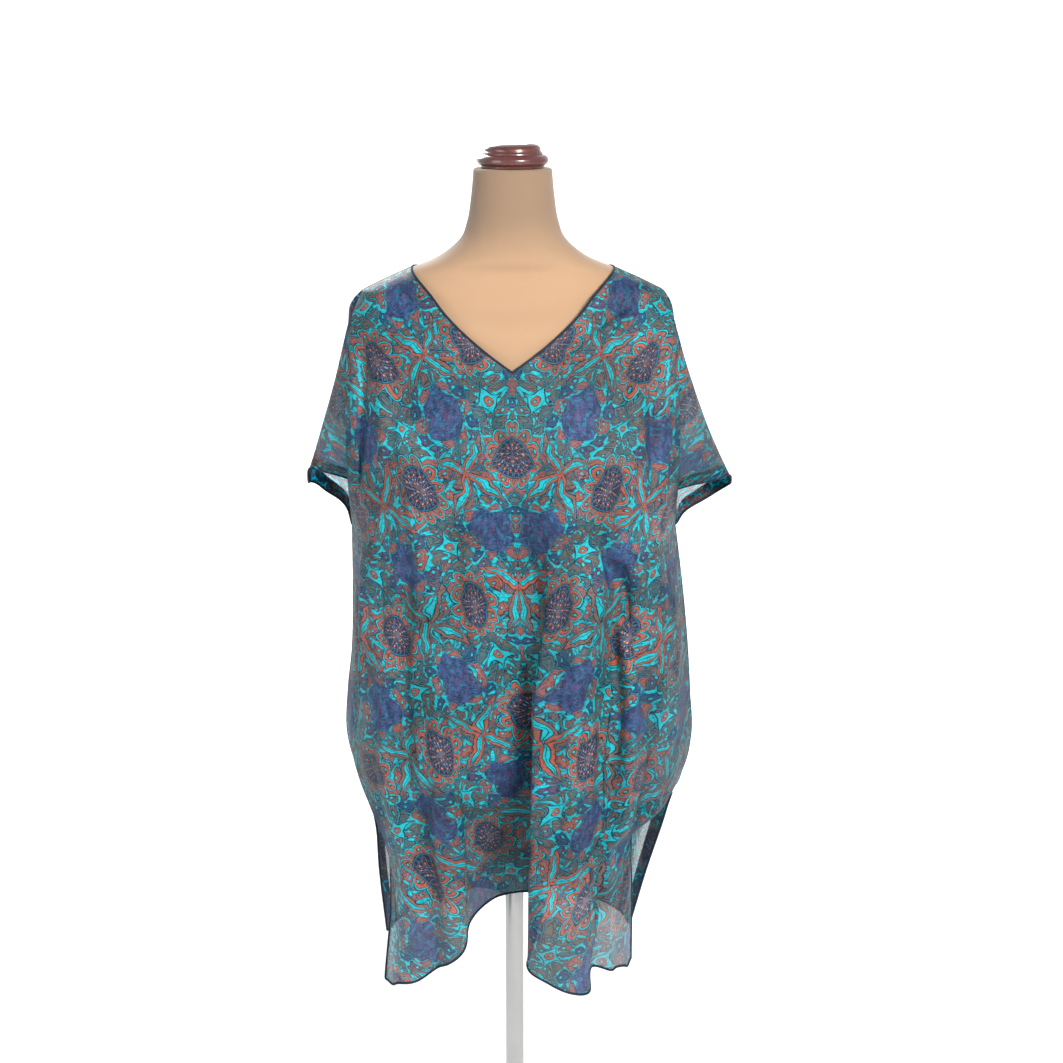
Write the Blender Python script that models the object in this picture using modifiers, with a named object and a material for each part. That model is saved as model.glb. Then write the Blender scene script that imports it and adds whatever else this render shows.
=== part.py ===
"""A short kaftan worn by a limbless dress form with a turned cap, a pole and a round base.

Metres, +Z up, the kaftan's front towards -Y. The origin is the middle of the base's underside.
The kaftan is two panels, front and back, each with its sleeve halves cut in one with it. They
meet in the plane y = 0, along the shoulders, the sleeves' upper edges and the side seams.
"""
import math

import bpy
import numpy as np

# Sizes shared by several pieces.
GAP = 0.0003  # between pieces that meet
CLOTH = 0.002  # thickness of a panel's wall

# The stand.
BASE_RADIUS = 0.165
BASE_HEIGHT = 0.034
POLE_RADIUS = 0.0125
COLLAR_RADIUS = 0.034
COLLAR_HEIGHT = 0.030
FORM_BOTTOM = 0.700  # underside of the dress form
NECK_TOP = 1.487  # where the cap sits
CAP_HEIGHT = 0.031

# Heights on the worn kaftan.
NECK_POINT = (0.127, 1.367)  # where the neck edge crosses the shoulder: half width, height
SHOULDER_TIP = (0.190, 1.336)
V_BOTTOM = 1.248  # bottom of the neckline at the front
V_SLOPE = 0.70  # rise of the neckline beside its bottom
V_CURVE = 1.80  # how much it steepens towards the shoulder
BACK_NECK_DROP = 0.030
BUST = 1.150
UNDERARM = 1.030
HIP = 0.740
SLIT = 0.655  # top of the side slits

# Rows of the panels' grids.
CHEST_ROWS = 9  # neckline and shoulder to bust
ARM_ROWS = 4  # bust to underarm
SKIRT_ROWS = 16  # underarm to hem
SLEEVE_COLUMNS = 7
FRONT_COLUMNS = 44
BACK_COLUMNS = 30

# The dress form's sections: height, half width, depth in front, depth behind.
FORM = [
    (1.487, 0.0490, 0.048, 0.050),
    (1.455, 0.0520, 0.050, 0.053),
    (1.420, 0.0580, 0.054, 0.058),
    (1.402, 0.0650, 0.056, 0.062),
    (1.388, 0.0790, 0.058, 0.065),
    (1.374, 0.1010, 0.059, 0.066),
    (1.3636, 0.1280, 0.056, 0.063),
    (1.3496, 0.1580, 0.060, 0.066),
    (1.3376, 0.1770, 0.064, 0.069),
    (1.3210, 0.1840, 0.069, 0.072),
    (1.300, 0.1860, 0.083, 0.083),
    (1.260, 0.1810, 0.094, 0.089),
    (1.210, 0.1720, 0.108, 0.095),
    (1.150, 0.1640, 0.118, 0.097),
    (1.080, 0.1470, 0.110, 0.090),
    (0.985, 0.1220, 0.090, 0.078),
    (0.900, 0.1450, 0.095, 0.094),
    (0.820, 0.1660, 0.100, 0.110),
    (0.760, 0.1700, 0.099, 0.113),
    (0.722, 0.1670, 0.095, 0.109),
    (0.706, 0.1590, 0.089, 0.102),
    (0.700, 0.1480, 0.082, 0.094),
]
FORM_POWER = 2.2  # 2 is an ellipse, more is squarer
BUST_CENTRE = (0.083, 1.150)
BUST_SIZE = (0.052, 0.062)  # width and height over which a cup falls away
BUST_OUT = 0.030
BUST_FADE = 0.05  # a cup starts this far in front of y = 0

# The kaftan over the chest and back: height, depth in front, depth behind, at the middle.
CHEST = [
    (1.395, 0.056, 0.064),
    (1.367, 0.064, 0.071),
    (1.336, 0.075, 0.080),
    (1.300, 0.089, 0.090),
    (1.248, 0.111, 0.105),
    (1.200, 0.138, 0.116),
    (1.150, 0.156, 0.120),
    (1.030, 0.156, 0.124),
]
CHEST_POWER = 2.3
BUST_SPREAD = 0.80  # below 1 the columns are more evenly spaced across the bust
DRAPE = 0.8  # below 1 the folds open sooner under the bust

# The armhole line, where body turns into sleeve: height, half width, distance before or behind y = 0.
ARMHOLE = [
    (1.336, 0.190, 0.000),
    (1.318, 0.198, 0.022),
    (1.290, 0.205, 0.042),
    (1.230, 0.208, 0.062),
    (1.150, 0.210, 0.066),
    (1.090, 0.210, 0.052),
    (1.050, 0.210, 0.024),
    (1.030, 0.211, 0.000),
]

# The sleeve's upper edge from shoulder tip to corner: height, left half width, right half width.
SLEEVE_TOP = [
    (1.336, 0.190, 0.190),
    (1.324, 0.202, 0.198),
    (1.290, 0.210, 0.206),
    (1.220, 0.228, 0.228),
    (1.155, 0.247, 0.252),
    (1.085, 0.266, 0.282),
]
CUFF_LIFT = {"front": (0.052, 0.030), "back": (-0.016, -0.016)}  # left, right
TUCK = 0.034  # how far the sleeve slips behind the body's side fold
SLEEVE_PUFF = {"front": 0.030, "back": 0.034}  # how far a sleeve half stands off at the cuff
SLEEVE_CLOSE = {"front": 1.6, "back": 0.8}  # how soon a sleeve half comes in to y = 0
TUCK_REACH = 1.7  # the tuck ends at one part in this of the sleeve's width

# Side seam, then slit edges: height, left half width, right half width, forward of y = 0.
FRONT_SIDE = [
    (1.030, 0.211, 0.211, 0.000),
    (0.930, 0.212, 0.224, 0.000),
    (0.860, 0.215, 0.231, 0.000),
    (0.800, 0.222, 0.235, 0.000),
    (0.740, 0.224, 0.238, 0.000),
    (0.690, 0.212, 0.228, 0.000),
    (0.655, 0.197, 0.210, 0.002),
    (0.630, 0.184, 0.174, 0.020),
    (0.595, 0.170, 0.160, 0.034),
    (0.540, 0.166, 0.158, 0.042),
    (0.410, 0.175, 0.158, 0.056),
]
BACK_SIDE = [
    (1.030, 0.211, 0.211, 0.000),
    (0.930, 0.212, 0.224, 0.000),
    (0.860, 0.215, 0.231, 0.000),
    (0.800, 0.222, 0.235, 0.000),
    (0.740, 0.224, 0.238, 0.000),
    (0.690, 0.212, 0.228, 0.000),
    (0.655, 0.199, 0.214, 0.000),
    (0.600, 0.190, 0.202, 0.020),
    (0.530, 0.188, 0.184, 0.036),
    (0.420, 0.180, 0.158, 0.052),
]

# The folds below the bust. Across is the place on the panel, -1 at the left seam and 1 at the
# right. Each fold is followed from the hip line to the hem, where it has its own height.
# Columns: name, across, hip x, hip y, hem x, hem y, hem height.
FRONT_FOLDS = [
    ("left seam", -1.00, -0.224, 0.000, -0.175, -0.056, 0.410),
    ("left turn", -0.83, -0.209, -0.062, -0.158, -0.080, 0.412),
    ("left panel", -0.68, -0.172, -0.120, -0.130, -0.094, 0.423),
    ("left groove", -0.58, -0.142, -0.120, -0.109, -0.090, 0.436),
    ("left crest", -0.46, -0.108, -0.148, -0.083, -0.110, 0.461),
    ("valley wall", -0.30, -0.062, -0.138, -0.060, -0.074, 0.500),
    ("valley", -0.14, -0.020, -0.120, -0.020, -0.036, 0.519),
    ("valley foot", -0.01, 0.014, -0.114, 0.022, -0.040, 0.521),
    ("lobe wall", 0.11, 0.030, -0.136, 0.029, -0.110, 0.494),
    ("lobe left", 0.23, 0.042, -0.166, 0.036, -0.165, 0.469),
    ("lobe front", 0.35, 0.068, -0.180, 0.066, -0.186, 0.456),
    ("lobe right", 0.47, 0.096, -0.168, 0.098, -0.172, 0.448),
    ("step", 0.58, 0.112, -0.132, 0.102, -0.130, 0.461),
    ("right fold", 0.70, 0.145, -0.142, 0.126, -0.120, 0.452),
    ("right turn", 0.86, 0.208, -0.080, 0.152, -0.096, 0.446),
    ("right seam", 1.00, 0.238, 0.000, 0.158, -0.056, 0.440),
]
BACK_FOLDS = [
    ("left seam", -1.00, -0.224, 0.000, -0.180, 0.052, 0.424),
    ("left turn", -0.80, -0.204, 0.072, -0.163, 0.096, 0.424),
    ("left crest", -0.62, -0.158, 0.130, -0.128, 0.144, 0.427),
    ("left valley", -0.44, -0.110, 0.126, -0.096, 0.116, 0.442),
    ("inner crest", -0.24, -0.060, 0.160, -0.052, 0.176, 0.430),
    ("middle valley", 0.00, 0.000, 0.134, 0.006, 0.132, 0.446),
    ("right crest", 0.25, 0.066, 0.160, 0.054, 0.178, 0.432),
    ("right valley", 0.45, 0.114, 0.124, 0.090, 0.122, 0.444),
    ("outer crest", 0.63, 0.166, 0.124, 0.124, 0.138, 0.430),
    ("right turn", 0.82, 0.214, 0.074, 0.148, 0.094, 0.434),
    ("right seam", 1.00, 0.238, 0.000, 0.158, 0.052, 0.436),
]


def curve(table, column, at):
    """One column of a table read at a height, on a smooth curve through its rows."""
    rows = sorted(table)
    places = np.array([row[0] for row in rows])
    values = np.array([row[column] for row in rows])
    slopes = np.gradient(values, places)
    at = np.clip(np.asarray(at, dtype=float), places[0], places[-1])
    i = np.clip(np.searchsorted(places, at) - 1, 0, len(places) - 2)
    step = places[i + 1] - places[i]
    t = (at - places[i]) / step
    return (
        (1 + 2 * t) * (1 - t) ** 2 * values[i]
        + t * (1 - t) ** 2 * step * slopes[i]
        + t * t * (3 - 2 * t) * values[i + 1]
        + t * t * (t - 1) * step * slopes[i + 1]
    )


def superellipse(share, power):
    """Height of a superellipse of unit size above the point at this share of its half width."""
    return (1 - min(abs(share), 1) ** power) ** (1 / power)


def material(name, colour, roughness, metallic=0.0):
    made = bpy.data.materials.new(name)
    made.use_nodes = True
    shader = made.node_tree.nodes["Principled BSDF"]
    shader.inputs["Base Color"].default_value = (*colour, 1)
    shader.inputs["Roughness"].default_value = roughness
    shader.inputs["Metallic"].default_value = metallic
    return made


def add_mesh(name, points, faces, look, collection):
    mesh = bpy.data.meshes.new(name)
    mesh.from_pydata([tuple(p) for p in points], [], faces)
    mesh.materials.append(look)
    made = bpy.data.objects.new(name, mesh)
    collection.objects.link(made)
    return made


def loft(name, rings, look, collection):
    """A closed body through rings of equally many points, listed from the top down."""
    count = len(rings[0])
    points = [p for ring in rings for p in ring]
    faces = [list(range(count))]
    for r in range(len(rings) - 1):
        for i in range(count):
            j = (i + 1) % count
            faces.append((r * count + j, r * count + i, (r + 1) * count + i, (r + 1) * count + j))
    last = (len(rings) - 1) * count
    faces.append([last + i for i in reversed(range(count))])
    made = add_mesh(name, points, faces, look, collection)
    made.data.shade_smooth()
    return made


def turned(name, profile, look, collection, sides=36):
    """A turned piece from (radius, height) pairs that run down its outside from the axis."""
    outline = [(radius, 0, height) for radius, height in profile]
    edges = [(i, i + 1) for i in range(len(outline) - 1)]
    mesh = bpy.data.meshes.new(name)
    mesh.from_pydata(outline, edges, [])
    mesh.materials.append(look)
    made = bpy.data.objects.new(name, mesh)
    collection.objects.link(made)
    screw = made.modifiers.new("Screw", "SCREW")
    screw.steps = screw.render_steps = sides
    screw.use_merge_vertices = True
    screw.merge_threshold = 0.0001
    return made


def form_point(angle, height):
    """A point of the dress form, the angle counted from +X towards +Y."""
    half_width = curve(FORM, 1, height)
    depth = curve(FORM, 2 if math.sin(angle) < 0 else 3, height)
    x = half_width * math.copysign(abs(math.cos(angle)) ** (2 / FORM_POWER), math.cos(angle))
    y = depth * math.copysign(abs(math.sin(angle)) ** (2 / FORM_POWER), math.sin(angle))
    if y < 0:
        across = (abs(x) - BUST_CENTRE[0]) / BUST_SIZE[0]
        up = (height - BUST_CENTRE[1]) / BUST_SIZE[1]
        y -= BUST_OUT * math.exp(-across * across - up * up) * min(1, -y / BUST_FADE)
    return x, y, height


def build_form(look, collection):
    """The dress form: neck, shoulders, bust, waist and hips, with flat ends."""
    sides = 36
    neck = np.linspace(NECK_TOP, 1.402, 5)
    shoulders = np.linspace(1.392, 1.316, 8)
    body = np.linspace(1.300, 0.722, 16)
    foot = (0.706, FORM_BOTTOM)
    rings = []
    for height in (*neck, *shoulders, *body, *foot):
        rings.append([form_point(2 * math.pi * i / sides, height) for i in range(sides)])
    loft("form_torso", rings, look, collection)


def build_cap(look, collection):
    """The turned cap: a narrow foot, a rounded flange, a cove and a domed top."""
    foot = NECK_TOP + GAP
    profile = [
        (0.0, foot + CAP_HEIGHT),
        (0.0270, foot + CAP_HEIGHT),
        (0.0325, foot + 0.0285),
        (0.0360, foot + 0.0240),
        (0.0370, foot + 0.0190),
        (0.0375, foot + 0.0160),
        (0.0430, foot + 0.0135),
        (0.0452, foot + 0.0100),
        (0.0440, foot + 0.0060),
        (0.0400, foot + 0.0040),
        (0.0400, foot),
        (0.0, foot),
    ]
    turned("neck_cap", profile, look, collection)


def build_stand(wood, steel, collection):
    """The collar under the form, the pole and the moulded base, which rests on its flat underside."""
    collar_top = FORM_BOTTOM - GAP
    collar_foot = collar_top - COLLAR_HEIGHT
    collar = [
        (0.0, collar_top),
        (COLLAR_RADIUS, collar_top),
        (COLLAR_RADIUS, collar_top - 0.006),
        (COLLAR_RADIUS * 0.62, collar_top - 0.012),
        (COLLAR_RADIUS * 0.58, collar_foot),
        (0.0, collar_foot),
    ]
    turned("stand_collar", collar, steel, collection, sides=24)
    pole = [
        (0.0, collar_foot - GAP),
        (POLE_RADIUS, collar_foot - GAP),
        (POLE_RADIUS, BASE_HEIGHT + GAP),
        (0.0, BASE_HEIGHT + GAP),
    ]
    turned("stand_pole", pole, steel, collection, sides=24)
    base = [
        (0.0, BASE_HEIGHT),
        (0.030, BASE_HEIGHT),
        (0.036, BASE_HEIGHT - 0.006),
        (0.060, BASE_HEIGHT - 0.009),
        (BASE_RADIUS - 0.040, BASE_HEIGHT - 0.013),
        (BASE_RADIUS - 0.018, BASE_HEIGHT - 0.016),
        (BASE_RADIUS - 0.014, BASE_HEIGHT - 0.020),
        (BASE_RADIUS - 0.004, BASE_HEIGHT - 0.021),
        (BASE_RADIUS, BASE_HEIGHT - 0.025),
        (BASE_RADIUS, 0.004),
        (BASE_RADIUS - 0.003, 0.0),
        (0.0, 0.0),
    ]
    turned("stand_base", base, wood, collection, sides=44)


class Panel:
    """The front or the back: where each point of its cloth lies."""

    def __init__(self, front):
        self.front = front
        self.name = "front" if front else "back"
        self.sign = -1 if front else 1
        self.depth_column = 1 if front else 2
        self.side = FRONT_SIDE if front else BACK_SIDE
        self.folds = [row[1:] for row in (FRONT_FOLDS if front else BACK_FOLDS)]
        self.lift = CUFF_LIFT[self.name]
        self.columns = FRONT_COLUMNS if front else BACK_COLUMNS

    def bust_x(self, across):
        """Where a column crosses the bust line: the folds' places, drawn towards even spacing."""
        even = math.sin(across * math.pi / 2 * BUST_SPREAD) / math.sin(math.pi / 2 * BUST_SPREAD)
        return curve(ARMHOLE, 1, BUST) * even

    def chest(self, across, height):
        """Over chest and shoulder blades: a section through the middle and the armhole lines."""
        level = min(height, SHOULDER_TIP[1])
        x = self.bust_x(across) * curve(ARMHOLE, 1, level) / curve(ARMHOLE, 1, BUST)
        depth = curve(CHEST, self.depth_column, height)
        if height < SHOULDER_TIP[1]:
            share = superellipse(curve(ARMHOLE, 2, height) / depth, CHEST_POWER)
            half_width = curve(ARMHOLE, 1, height) / share
        else:
            half_width = ridge_half_width(height)
        return np.array([x, self.sign * depth * superellipse(x / half_width, CHEST_POWER), height])

    def top(self, across):
        """Height where a column starts: on the neck edge or on the shoulder seam."""
        x = abs(self.chest(across, SHOULDER_TIP[1])[0])
        if x >= NECK_POINT[0]:
            return ridge_height(x)
        if self.front:
            return V_BOTTOM + V_SLOPE * x + V_CURVE * x * x
        return NECK_POINT[1] - BACK_NECK_DROP * (1 - (x / NECK_POINT[0]) ** 2)

    def fold(self, across):
        """A column's place at the hip line and at the hem."""
        hip = np.array([curve(self.folds, 1, across), curve(self.folds, 2, across), HIP])
        hem = np.array([curve(self.folds, i, across) for i in (3, 4, 5)])
        return hip, hem

    def edge(self, left, height):
        """Side seam or slit edge at a height."""
        x = -curve(self.side, 1, height) if left else curve(self.side, 2, height)
        return x, self.sign * curve(self.side, 3, height)

    def skirt(self, across, height):
        """Below the bust: from the bust's section to the hip's and on to the hem's."""
        bust = self.chest(across, BUST)
        hip, hem = self.fold(across)
        if height >= HIP:
            share = ((BUST - height) / (BUST - HIP)) ** DRAPE
            point = bust + (hip - bust) * share
        else:
            share = (HIP - height) / (HIP - hem[2])
            point = hip + (hem - hip) * share
        point[2] = height
        return point

    def body(self, across, height):
        """A point between the armhole lines or, lower down, the side edges."""
        if height >= BUST:
            return self.chest(across, height)
        point = self.skirt(across, height)
        left = across < 0
        end = self.skirt(-1 if left else 1, height)
        if height > UNDERARM:
            x = curve(ARMHOLE, 1, height) * (-1 if left else 1)
            y = self.sign * curve(ARMHOLE, 2, height)
        else:
            x, y = self.edge(left, height)
        point[0] += (x - end[0]) * abs(across) ** 3
        point[1] += (y - end[1]) * abs(across) ** 6
        return point

    def heights(self, across):
        """The heights of a column's rows, close together where the shoulder turns over."""
        top = self.top(across)
        hem = self.fold(across)[1][2]
        chest = [top + (BUST - top) * (i / CHEST_ROWS) ** 1.8 for i in range(CHEST_ROWS)]
        arm = [BUST + (UNDERARM - BUST) * i / ARM_ROWS for i in range(ARM_ROWS)]
        skirt = [UNDERARM + (hem - UNDERARM) * i / SKIRT_ROWS for i in range(SKIRT_ROWS + 1)]
        return chest + arm + skirt

    def sleeve(self, left, row, share):
        """A sleeve point: share runs from the armhole line (0) to the sleeve's upper edge (1)."""
        hand = -1 if left else 1
        rows = CHEST_ROWS + ARM_ROWS
        root = self.body(hand, self.heights(hand)[row])
        along = row / rows
        height = SLEEVE_TOP[0][0] + (SLEEVE_TOP[-1][0] - SLEEVE_TOP[0][0]) * along
        edge = np.array([hand * curve(SLEEVE_TOP, 1 if left else 2, height), 0, height])
        out = math.sin(share * math.pi / 2) ** 1.3
        point = root + (edge - root) * share
        point[0] = root[0] + (edge[0] - root[0]) * out
        point[0] -= hand * TUCK * along * math.sin(math.pi * min(1, share * TUCK_REACH)) ** 2
        point[1] = root[1] * (1 - share) ** SLEEVE_CLOSE[self.name]
        point[2] += self.lift[0 if left else 1] * along**3 * math.sin(math.pi * share) ** 0.7
        point[1] += self.sign * SLEEVE_PUFF[self.name] * along * math.sin(math.pi * share)
        return point


def ridge_half_width(height):
    """Half width of the shoulder line at a height."""
    run = (SHOULDER_TIP[0] - NECK_POINT[0]) / (NECK_POINT[1] - SHOULDER_TIP[1])
    return SHOULDER_TIP[0] - (height - SHOULDER_TIP[1]) * run


def ridge_height(x):
    """Height of the shoulder line at a distance from the middle."""
    run = (SHOULDER_TIP[0] - NECK_POINT[0]) / (NECK_POINT[1] - SHOULDER_TIP[1])
    return SHOULDER_TIP[1] + (SHOULDER_TIP[0] - abs(x)) / run


def panel_grid(panel):
    """Points, faces and seam points of a panel's sheet: a body grid and a sleeve grid at each side."""
    points, faces, seam = [], [], set()
    rows = CHEST_ROWS + ARM_ROWS + SKIRT_ROWS
    cuff = CHEST_ROWS + ARM_ROWS
    columns = panel.columns
    for c in range(columns + 1):
        across = -1 + 2 * c / columns
        for r, height in enumerate(panel.heights(across)):
            points.append(panel.body(across, height))
            on_shoulder = r == 0 and abs(points[-1][0]) >= NECK_POINT[0] - 1e-6
            on_side = c in (0, columns) and r >= cuff and height >= SLIT
            if on_shoulder or on_side:
                seam.add(len(points) - 1)
    for c in range(columns):
        for r in range(rows):
            a = c * (rows + 1) + r
            b = a + rows + 1
            faces.append((a, a + 1, b + 1, b))
    for left in (True, False):
        root = 0 if left else columns * (rows + 1)
        strips = [[root + r for r in range(cuff + 1)]]
        for s in range(1, SLEEVE_COLUMNS + 1):
            strip = [root]
            for r in range(1, cuff + 1):
                points.append(panel.sleeve(left, r, s / SLEEVE_COLUMNS))
                strip.append(len(points) - 1)
                if s == SLEEVE_COLUMNS:
                    seam.add(len(points) - 1)
            strips.append(strip)
        for inner, outer in zip(strips, strips[1:]):
            for r in range(cuff):
                quad = [inner[r], inner[r + 1], outer[r + 1], outer[r]]
                quad = quad if not left else quad[::-1]
                corners = list(dict.fromkeys(quad))
                faces.append(corners)
    if not panel.front:
        faces = [face[::-1] for face in faces]
    return points, faces, seam


def build_panel(name, front, look, collection):
    """One panel as a wall. Its seam edges are flat, half a gap from the plane y = 0."""
    panel = Panel(front)
    points, faces, seam = panel_grid(panel)
    made = add_mesh(name, points, faces, look, collection)
    wall = made.modifiers.new("Wall", "SOLIDIFY")
    wall.thickness = CLOTH
    wall.offset = 0
    graph = bpy.context.evaluated_depsgraph_get()
    solid = bpy.data.meshes.new_from_object(made.evaluated_get(graph))
    made.modifiers.clear()
    made.data = solid
    near = panel.sign * GAP / 2
    for i in seam:
        for vertex in (solid.vertices[i], solid.vertices[i + len(points)]):
            vertex.co.y = near
    for vertex in solid.vertices:
        if vertex.co.y * panel.sign < GAP / 2 and vertex.co.z > SLIT:
            vertex.co.y = near
    solid.shade_smooth()
    return made


def main():
    for old in list(bpy.data.objects):
        bpy.data.objects.remove(old, do_unlink=True)
    collection = bpy.data.collections.new("kaftan_on_form")
    bpy.context.scene.collection.children.link(collection)
    cloth = material("printed_chiffon", (0.09, 0.28, 0.36), 0.6)
    cover = material("cream_jersey", (0.72, 0.50, 0.32), 0.8)
    wood = material("mahogany", (0.19, 0.05, 0.035), 0.3)
    steel = material("brushed_steel", (0.62, 0.62, 0.60), 0.35, 1.0)
    build_form(cover, collection)
    build_cap(wood, collection)
    build_stand(wood, steel, collection)
    build_panel("kaftan_front", True, cloth, collection)
    build_panel("kaftan_back", False, cloth, collection)


main()
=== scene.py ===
"""Looks of a short sheer kaftan on a limbless dress form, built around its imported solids.

Metres, +Z up, the kaftan's front towards -Y. The cloth follows the same tables as the solids,
on a finer grid, with its creases, rolled edges and sewn hems added.
"""
import math
from types import SimpleNamespace

import bpy
import numpy as np
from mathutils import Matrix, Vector
from mathutils.bvhtree import BVHTree


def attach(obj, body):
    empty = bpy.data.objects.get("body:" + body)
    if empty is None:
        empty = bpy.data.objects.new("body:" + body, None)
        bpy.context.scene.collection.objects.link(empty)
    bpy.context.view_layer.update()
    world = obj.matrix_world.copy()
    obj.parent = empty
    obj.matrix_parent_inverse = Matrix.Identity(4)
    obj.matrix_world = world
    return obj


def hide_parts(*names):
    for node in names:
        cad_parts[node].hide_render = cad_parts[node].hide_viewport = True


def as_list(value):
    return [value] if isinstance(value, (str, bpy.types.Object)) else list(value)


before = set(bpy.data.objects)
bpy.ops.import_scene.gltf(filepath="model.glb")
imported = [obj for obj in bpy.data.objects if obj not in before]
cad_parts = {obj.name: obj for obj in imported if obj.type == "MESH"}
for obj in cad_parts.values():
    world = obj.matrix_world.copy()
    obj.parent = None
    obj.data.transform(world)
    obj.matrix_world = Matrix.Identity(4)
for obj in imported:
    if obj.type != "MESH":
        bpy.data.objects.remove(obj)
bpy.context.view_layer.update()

# ---------------------------------------------------------------- sizes of the solids
GAP = 0.0003
BASE_RADIUS = 0.165
BASE_HEIGHT = 0.034
POLE_RADIUS = 0.0125
COLLAR_RADIUS = 0.034
COLLAR_HEIGHT = 0.030
FORM_BOTTOM = 0.700
NECK_TOP = 1.487
# Profiles of the turned pieces, from the top down: radius, height above the piece's foot.
CAP_PROFILE = [
    (0.0, 0.0310), (0.0140, 0.0308), (0.0255, 0.0299), (0.0322, 0.0274), (0.0349, 0.0240),
    (0.0352, 0.0205), (0.0372, 0.0188), (0.0374, 0.0165), (0.0418, 0.0150), (0.0448, 0.0118),
    (0.0450, 0.0080), (0.0432, 0.0050), (0.0398, 0.0038), (0.0398, 0.0), (0.0, 0.0),
]
COLLAR_PROFILE = [
    (0.0, COLLAR_HEIGHT), (COLLAR_RADIUS, COLLAR_HEIGHT), (COLLAR_RADIUS, 0.024),
    (COLLAR_RADIUS * 0.62, 0.018), (COLLAR_RADIUS * 0.58, 0.0), (0.0, 0.0),
]
BASE_PROFILE = [
    (0.0, BASE_HEIGHT), (0.030, BASE_HEIGHT), (0.036, 0.028), (0.060, 0.025), (0.125, 0.021),
    (0.147, 0.018), (0.151, 0.014), (0.161, 0.013), (BASE_RADIUS, 0.009), (BASE_RADIUS, 0.004),
    (0.162, 0.0), (0.0, 0.0),
]
NECK_POINT = (0.127, 1.367)
SHOULDER_TIP = (0.190, 1.336)
V_BOTTOM = 1.248
V_SLOPE = 0.70
V_CURVE = 1.80
BACK_NECK_DROP = 0.030
BUST = 1.150
UNDERARM = 1.030
HIP = 0.740
SLIT = 0.655
RIDGE_RUN = (SHOULDER_TIP[0] - NECK_POINT[0]) / (NECK_POINT[1] - SHOULDER_TIP[1])

# The dress form: height, half width, depth in front, depth behind.
FORM = [
    (1.487, 0.0490, 0.048, 0.050),
    (1.455, 0.0520, 0.050, 0.053),
    (1.420, 0.0580, 0.054, 0.058),
    (1.402, 0.0650, 0.056, 0.062),
    (1.388, 0.0790, 0.058, 0.065),
    (1.374, 0.1010, 0.059, 0.066),
    (1.3636, 0.1280, 0.056, 0.063),
    (1.3496, 0.1580, 0.060, 0.066),
    (1.3376, 0.1770, 0.064, 0.069),
    (1.3210, 0.1840, 0.069, 0.072),
    (1.300, 0.1860, 0.083, 0.083),
    (1.260, 0.1810, 0.094, 0.089),
    (1.210, 0.1720, 0.108, 0.095),
    (1.150, 0.1640, 0.118, 0.097),
    (1.080, 0.1470, 0.110, 0.090),
    (0.985, 0.1220, 0.090, 0.078),
    (0.900, 0.1450, 0.095, 0.094),
    (0.820, 0.1660, 0.100, 0.110),
    (0.760, 0.1700, 0.099, 0.113),
    (0.722, 0.1670, 0.095, 0.109),
    (0.706, 0.1590, 0.089, 0.102),
    (0.700, 0.1480, 0.082, 0.094),
]
FORM_POWER = 2.2
BUST_CENTRE = (0.083, 1.150)
BUST_SIZE = (0.052, 0.062)
BUST_OUT = 0.030
BUST_FADE = 0.05  # how far forward of the middle the bust is at its fullest
FORM_SIDES = 128
# Rings on the form: from, to, how many.
FORM_ROWS = (
    (NECK_TOP - 0.0015, 1.402, 21),
    (1.402, 1.316, 35),
    (1.316, 0.722, 109),
    (0.722, FORM_BOTTOM + 0.0010, 9),
)

# Over chest and back: height, depth in front, depth behind, at the middle.
CHEST = [
    (1.395, 0.056, 0.064),
    (1.367, 0.064, 0.071),
    (1.336, 0.075, 0.080),
    (1.300, 0.089, 0.090),
    (1.248, 0.111, 0.105),
    (1.200, 0.138, 0.116),
    (1.150, 0.156, 0.120),
    (1.030, 0.156, 0.124),
]
CHEST_POWER = 2.3
BUST_SPREAD = 0.80  # how evenly the columns spread across the bust line
DRAPE = 0.8  # how soon the cloth turns from the bust line to its place at the hips
SIDE_EASE = (3, 6)  # how late the columns turn to the side line, in x and in y

# The armhole line: height, half width, distance before or behind y = 0.
ARMHOLE = [
    (1.336, 0.190, 0.000),
    (1.318, 0.198, 0.022),
    (1.290, 0.205, 0.042),
    (1.230, 0.208, 0.062),
    (1.150, 0.210, 0.066),
    (1.090, 0.210, 0.052),
    (1.050, 0.210, 0.024),
    (1.030, 0.211, 0.000),
]
# The sleeve's upper edge: height, left half width, right half width.
SLEEVE_TOP = [
    (1.336, 0.190, 0.190),
    (1.324, 0.202, 0.198),
    (1.290, 0.210, 0.206),
    (1.220, 0.228, 0.228),
    (1.155, 0.247, 0.252),
    (1.085, 0.266, 0.282),
]
# The sleeves' halves: how far the cuff's edge is hitched up, left and right; how far it is
# tucked in towards the body; how far it puffs out; how soon it closes to the upper edge.
CUFF_LIFT = {"front": (0.048, 0.036), "back": (0.000, -0.008)}
TUCK = {"front": 0.034, "back": 0.008}
SLEEVE_PUFF = {"front": 0.030, "back": 0.034}
SLEEVE_CLOSE = {"front": 1.6, "back": 0.8}
TUCK_REACH = 1.7
SLEEVE_ROUND = 1.3
CUFF_ROUND = 0.7

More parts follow.
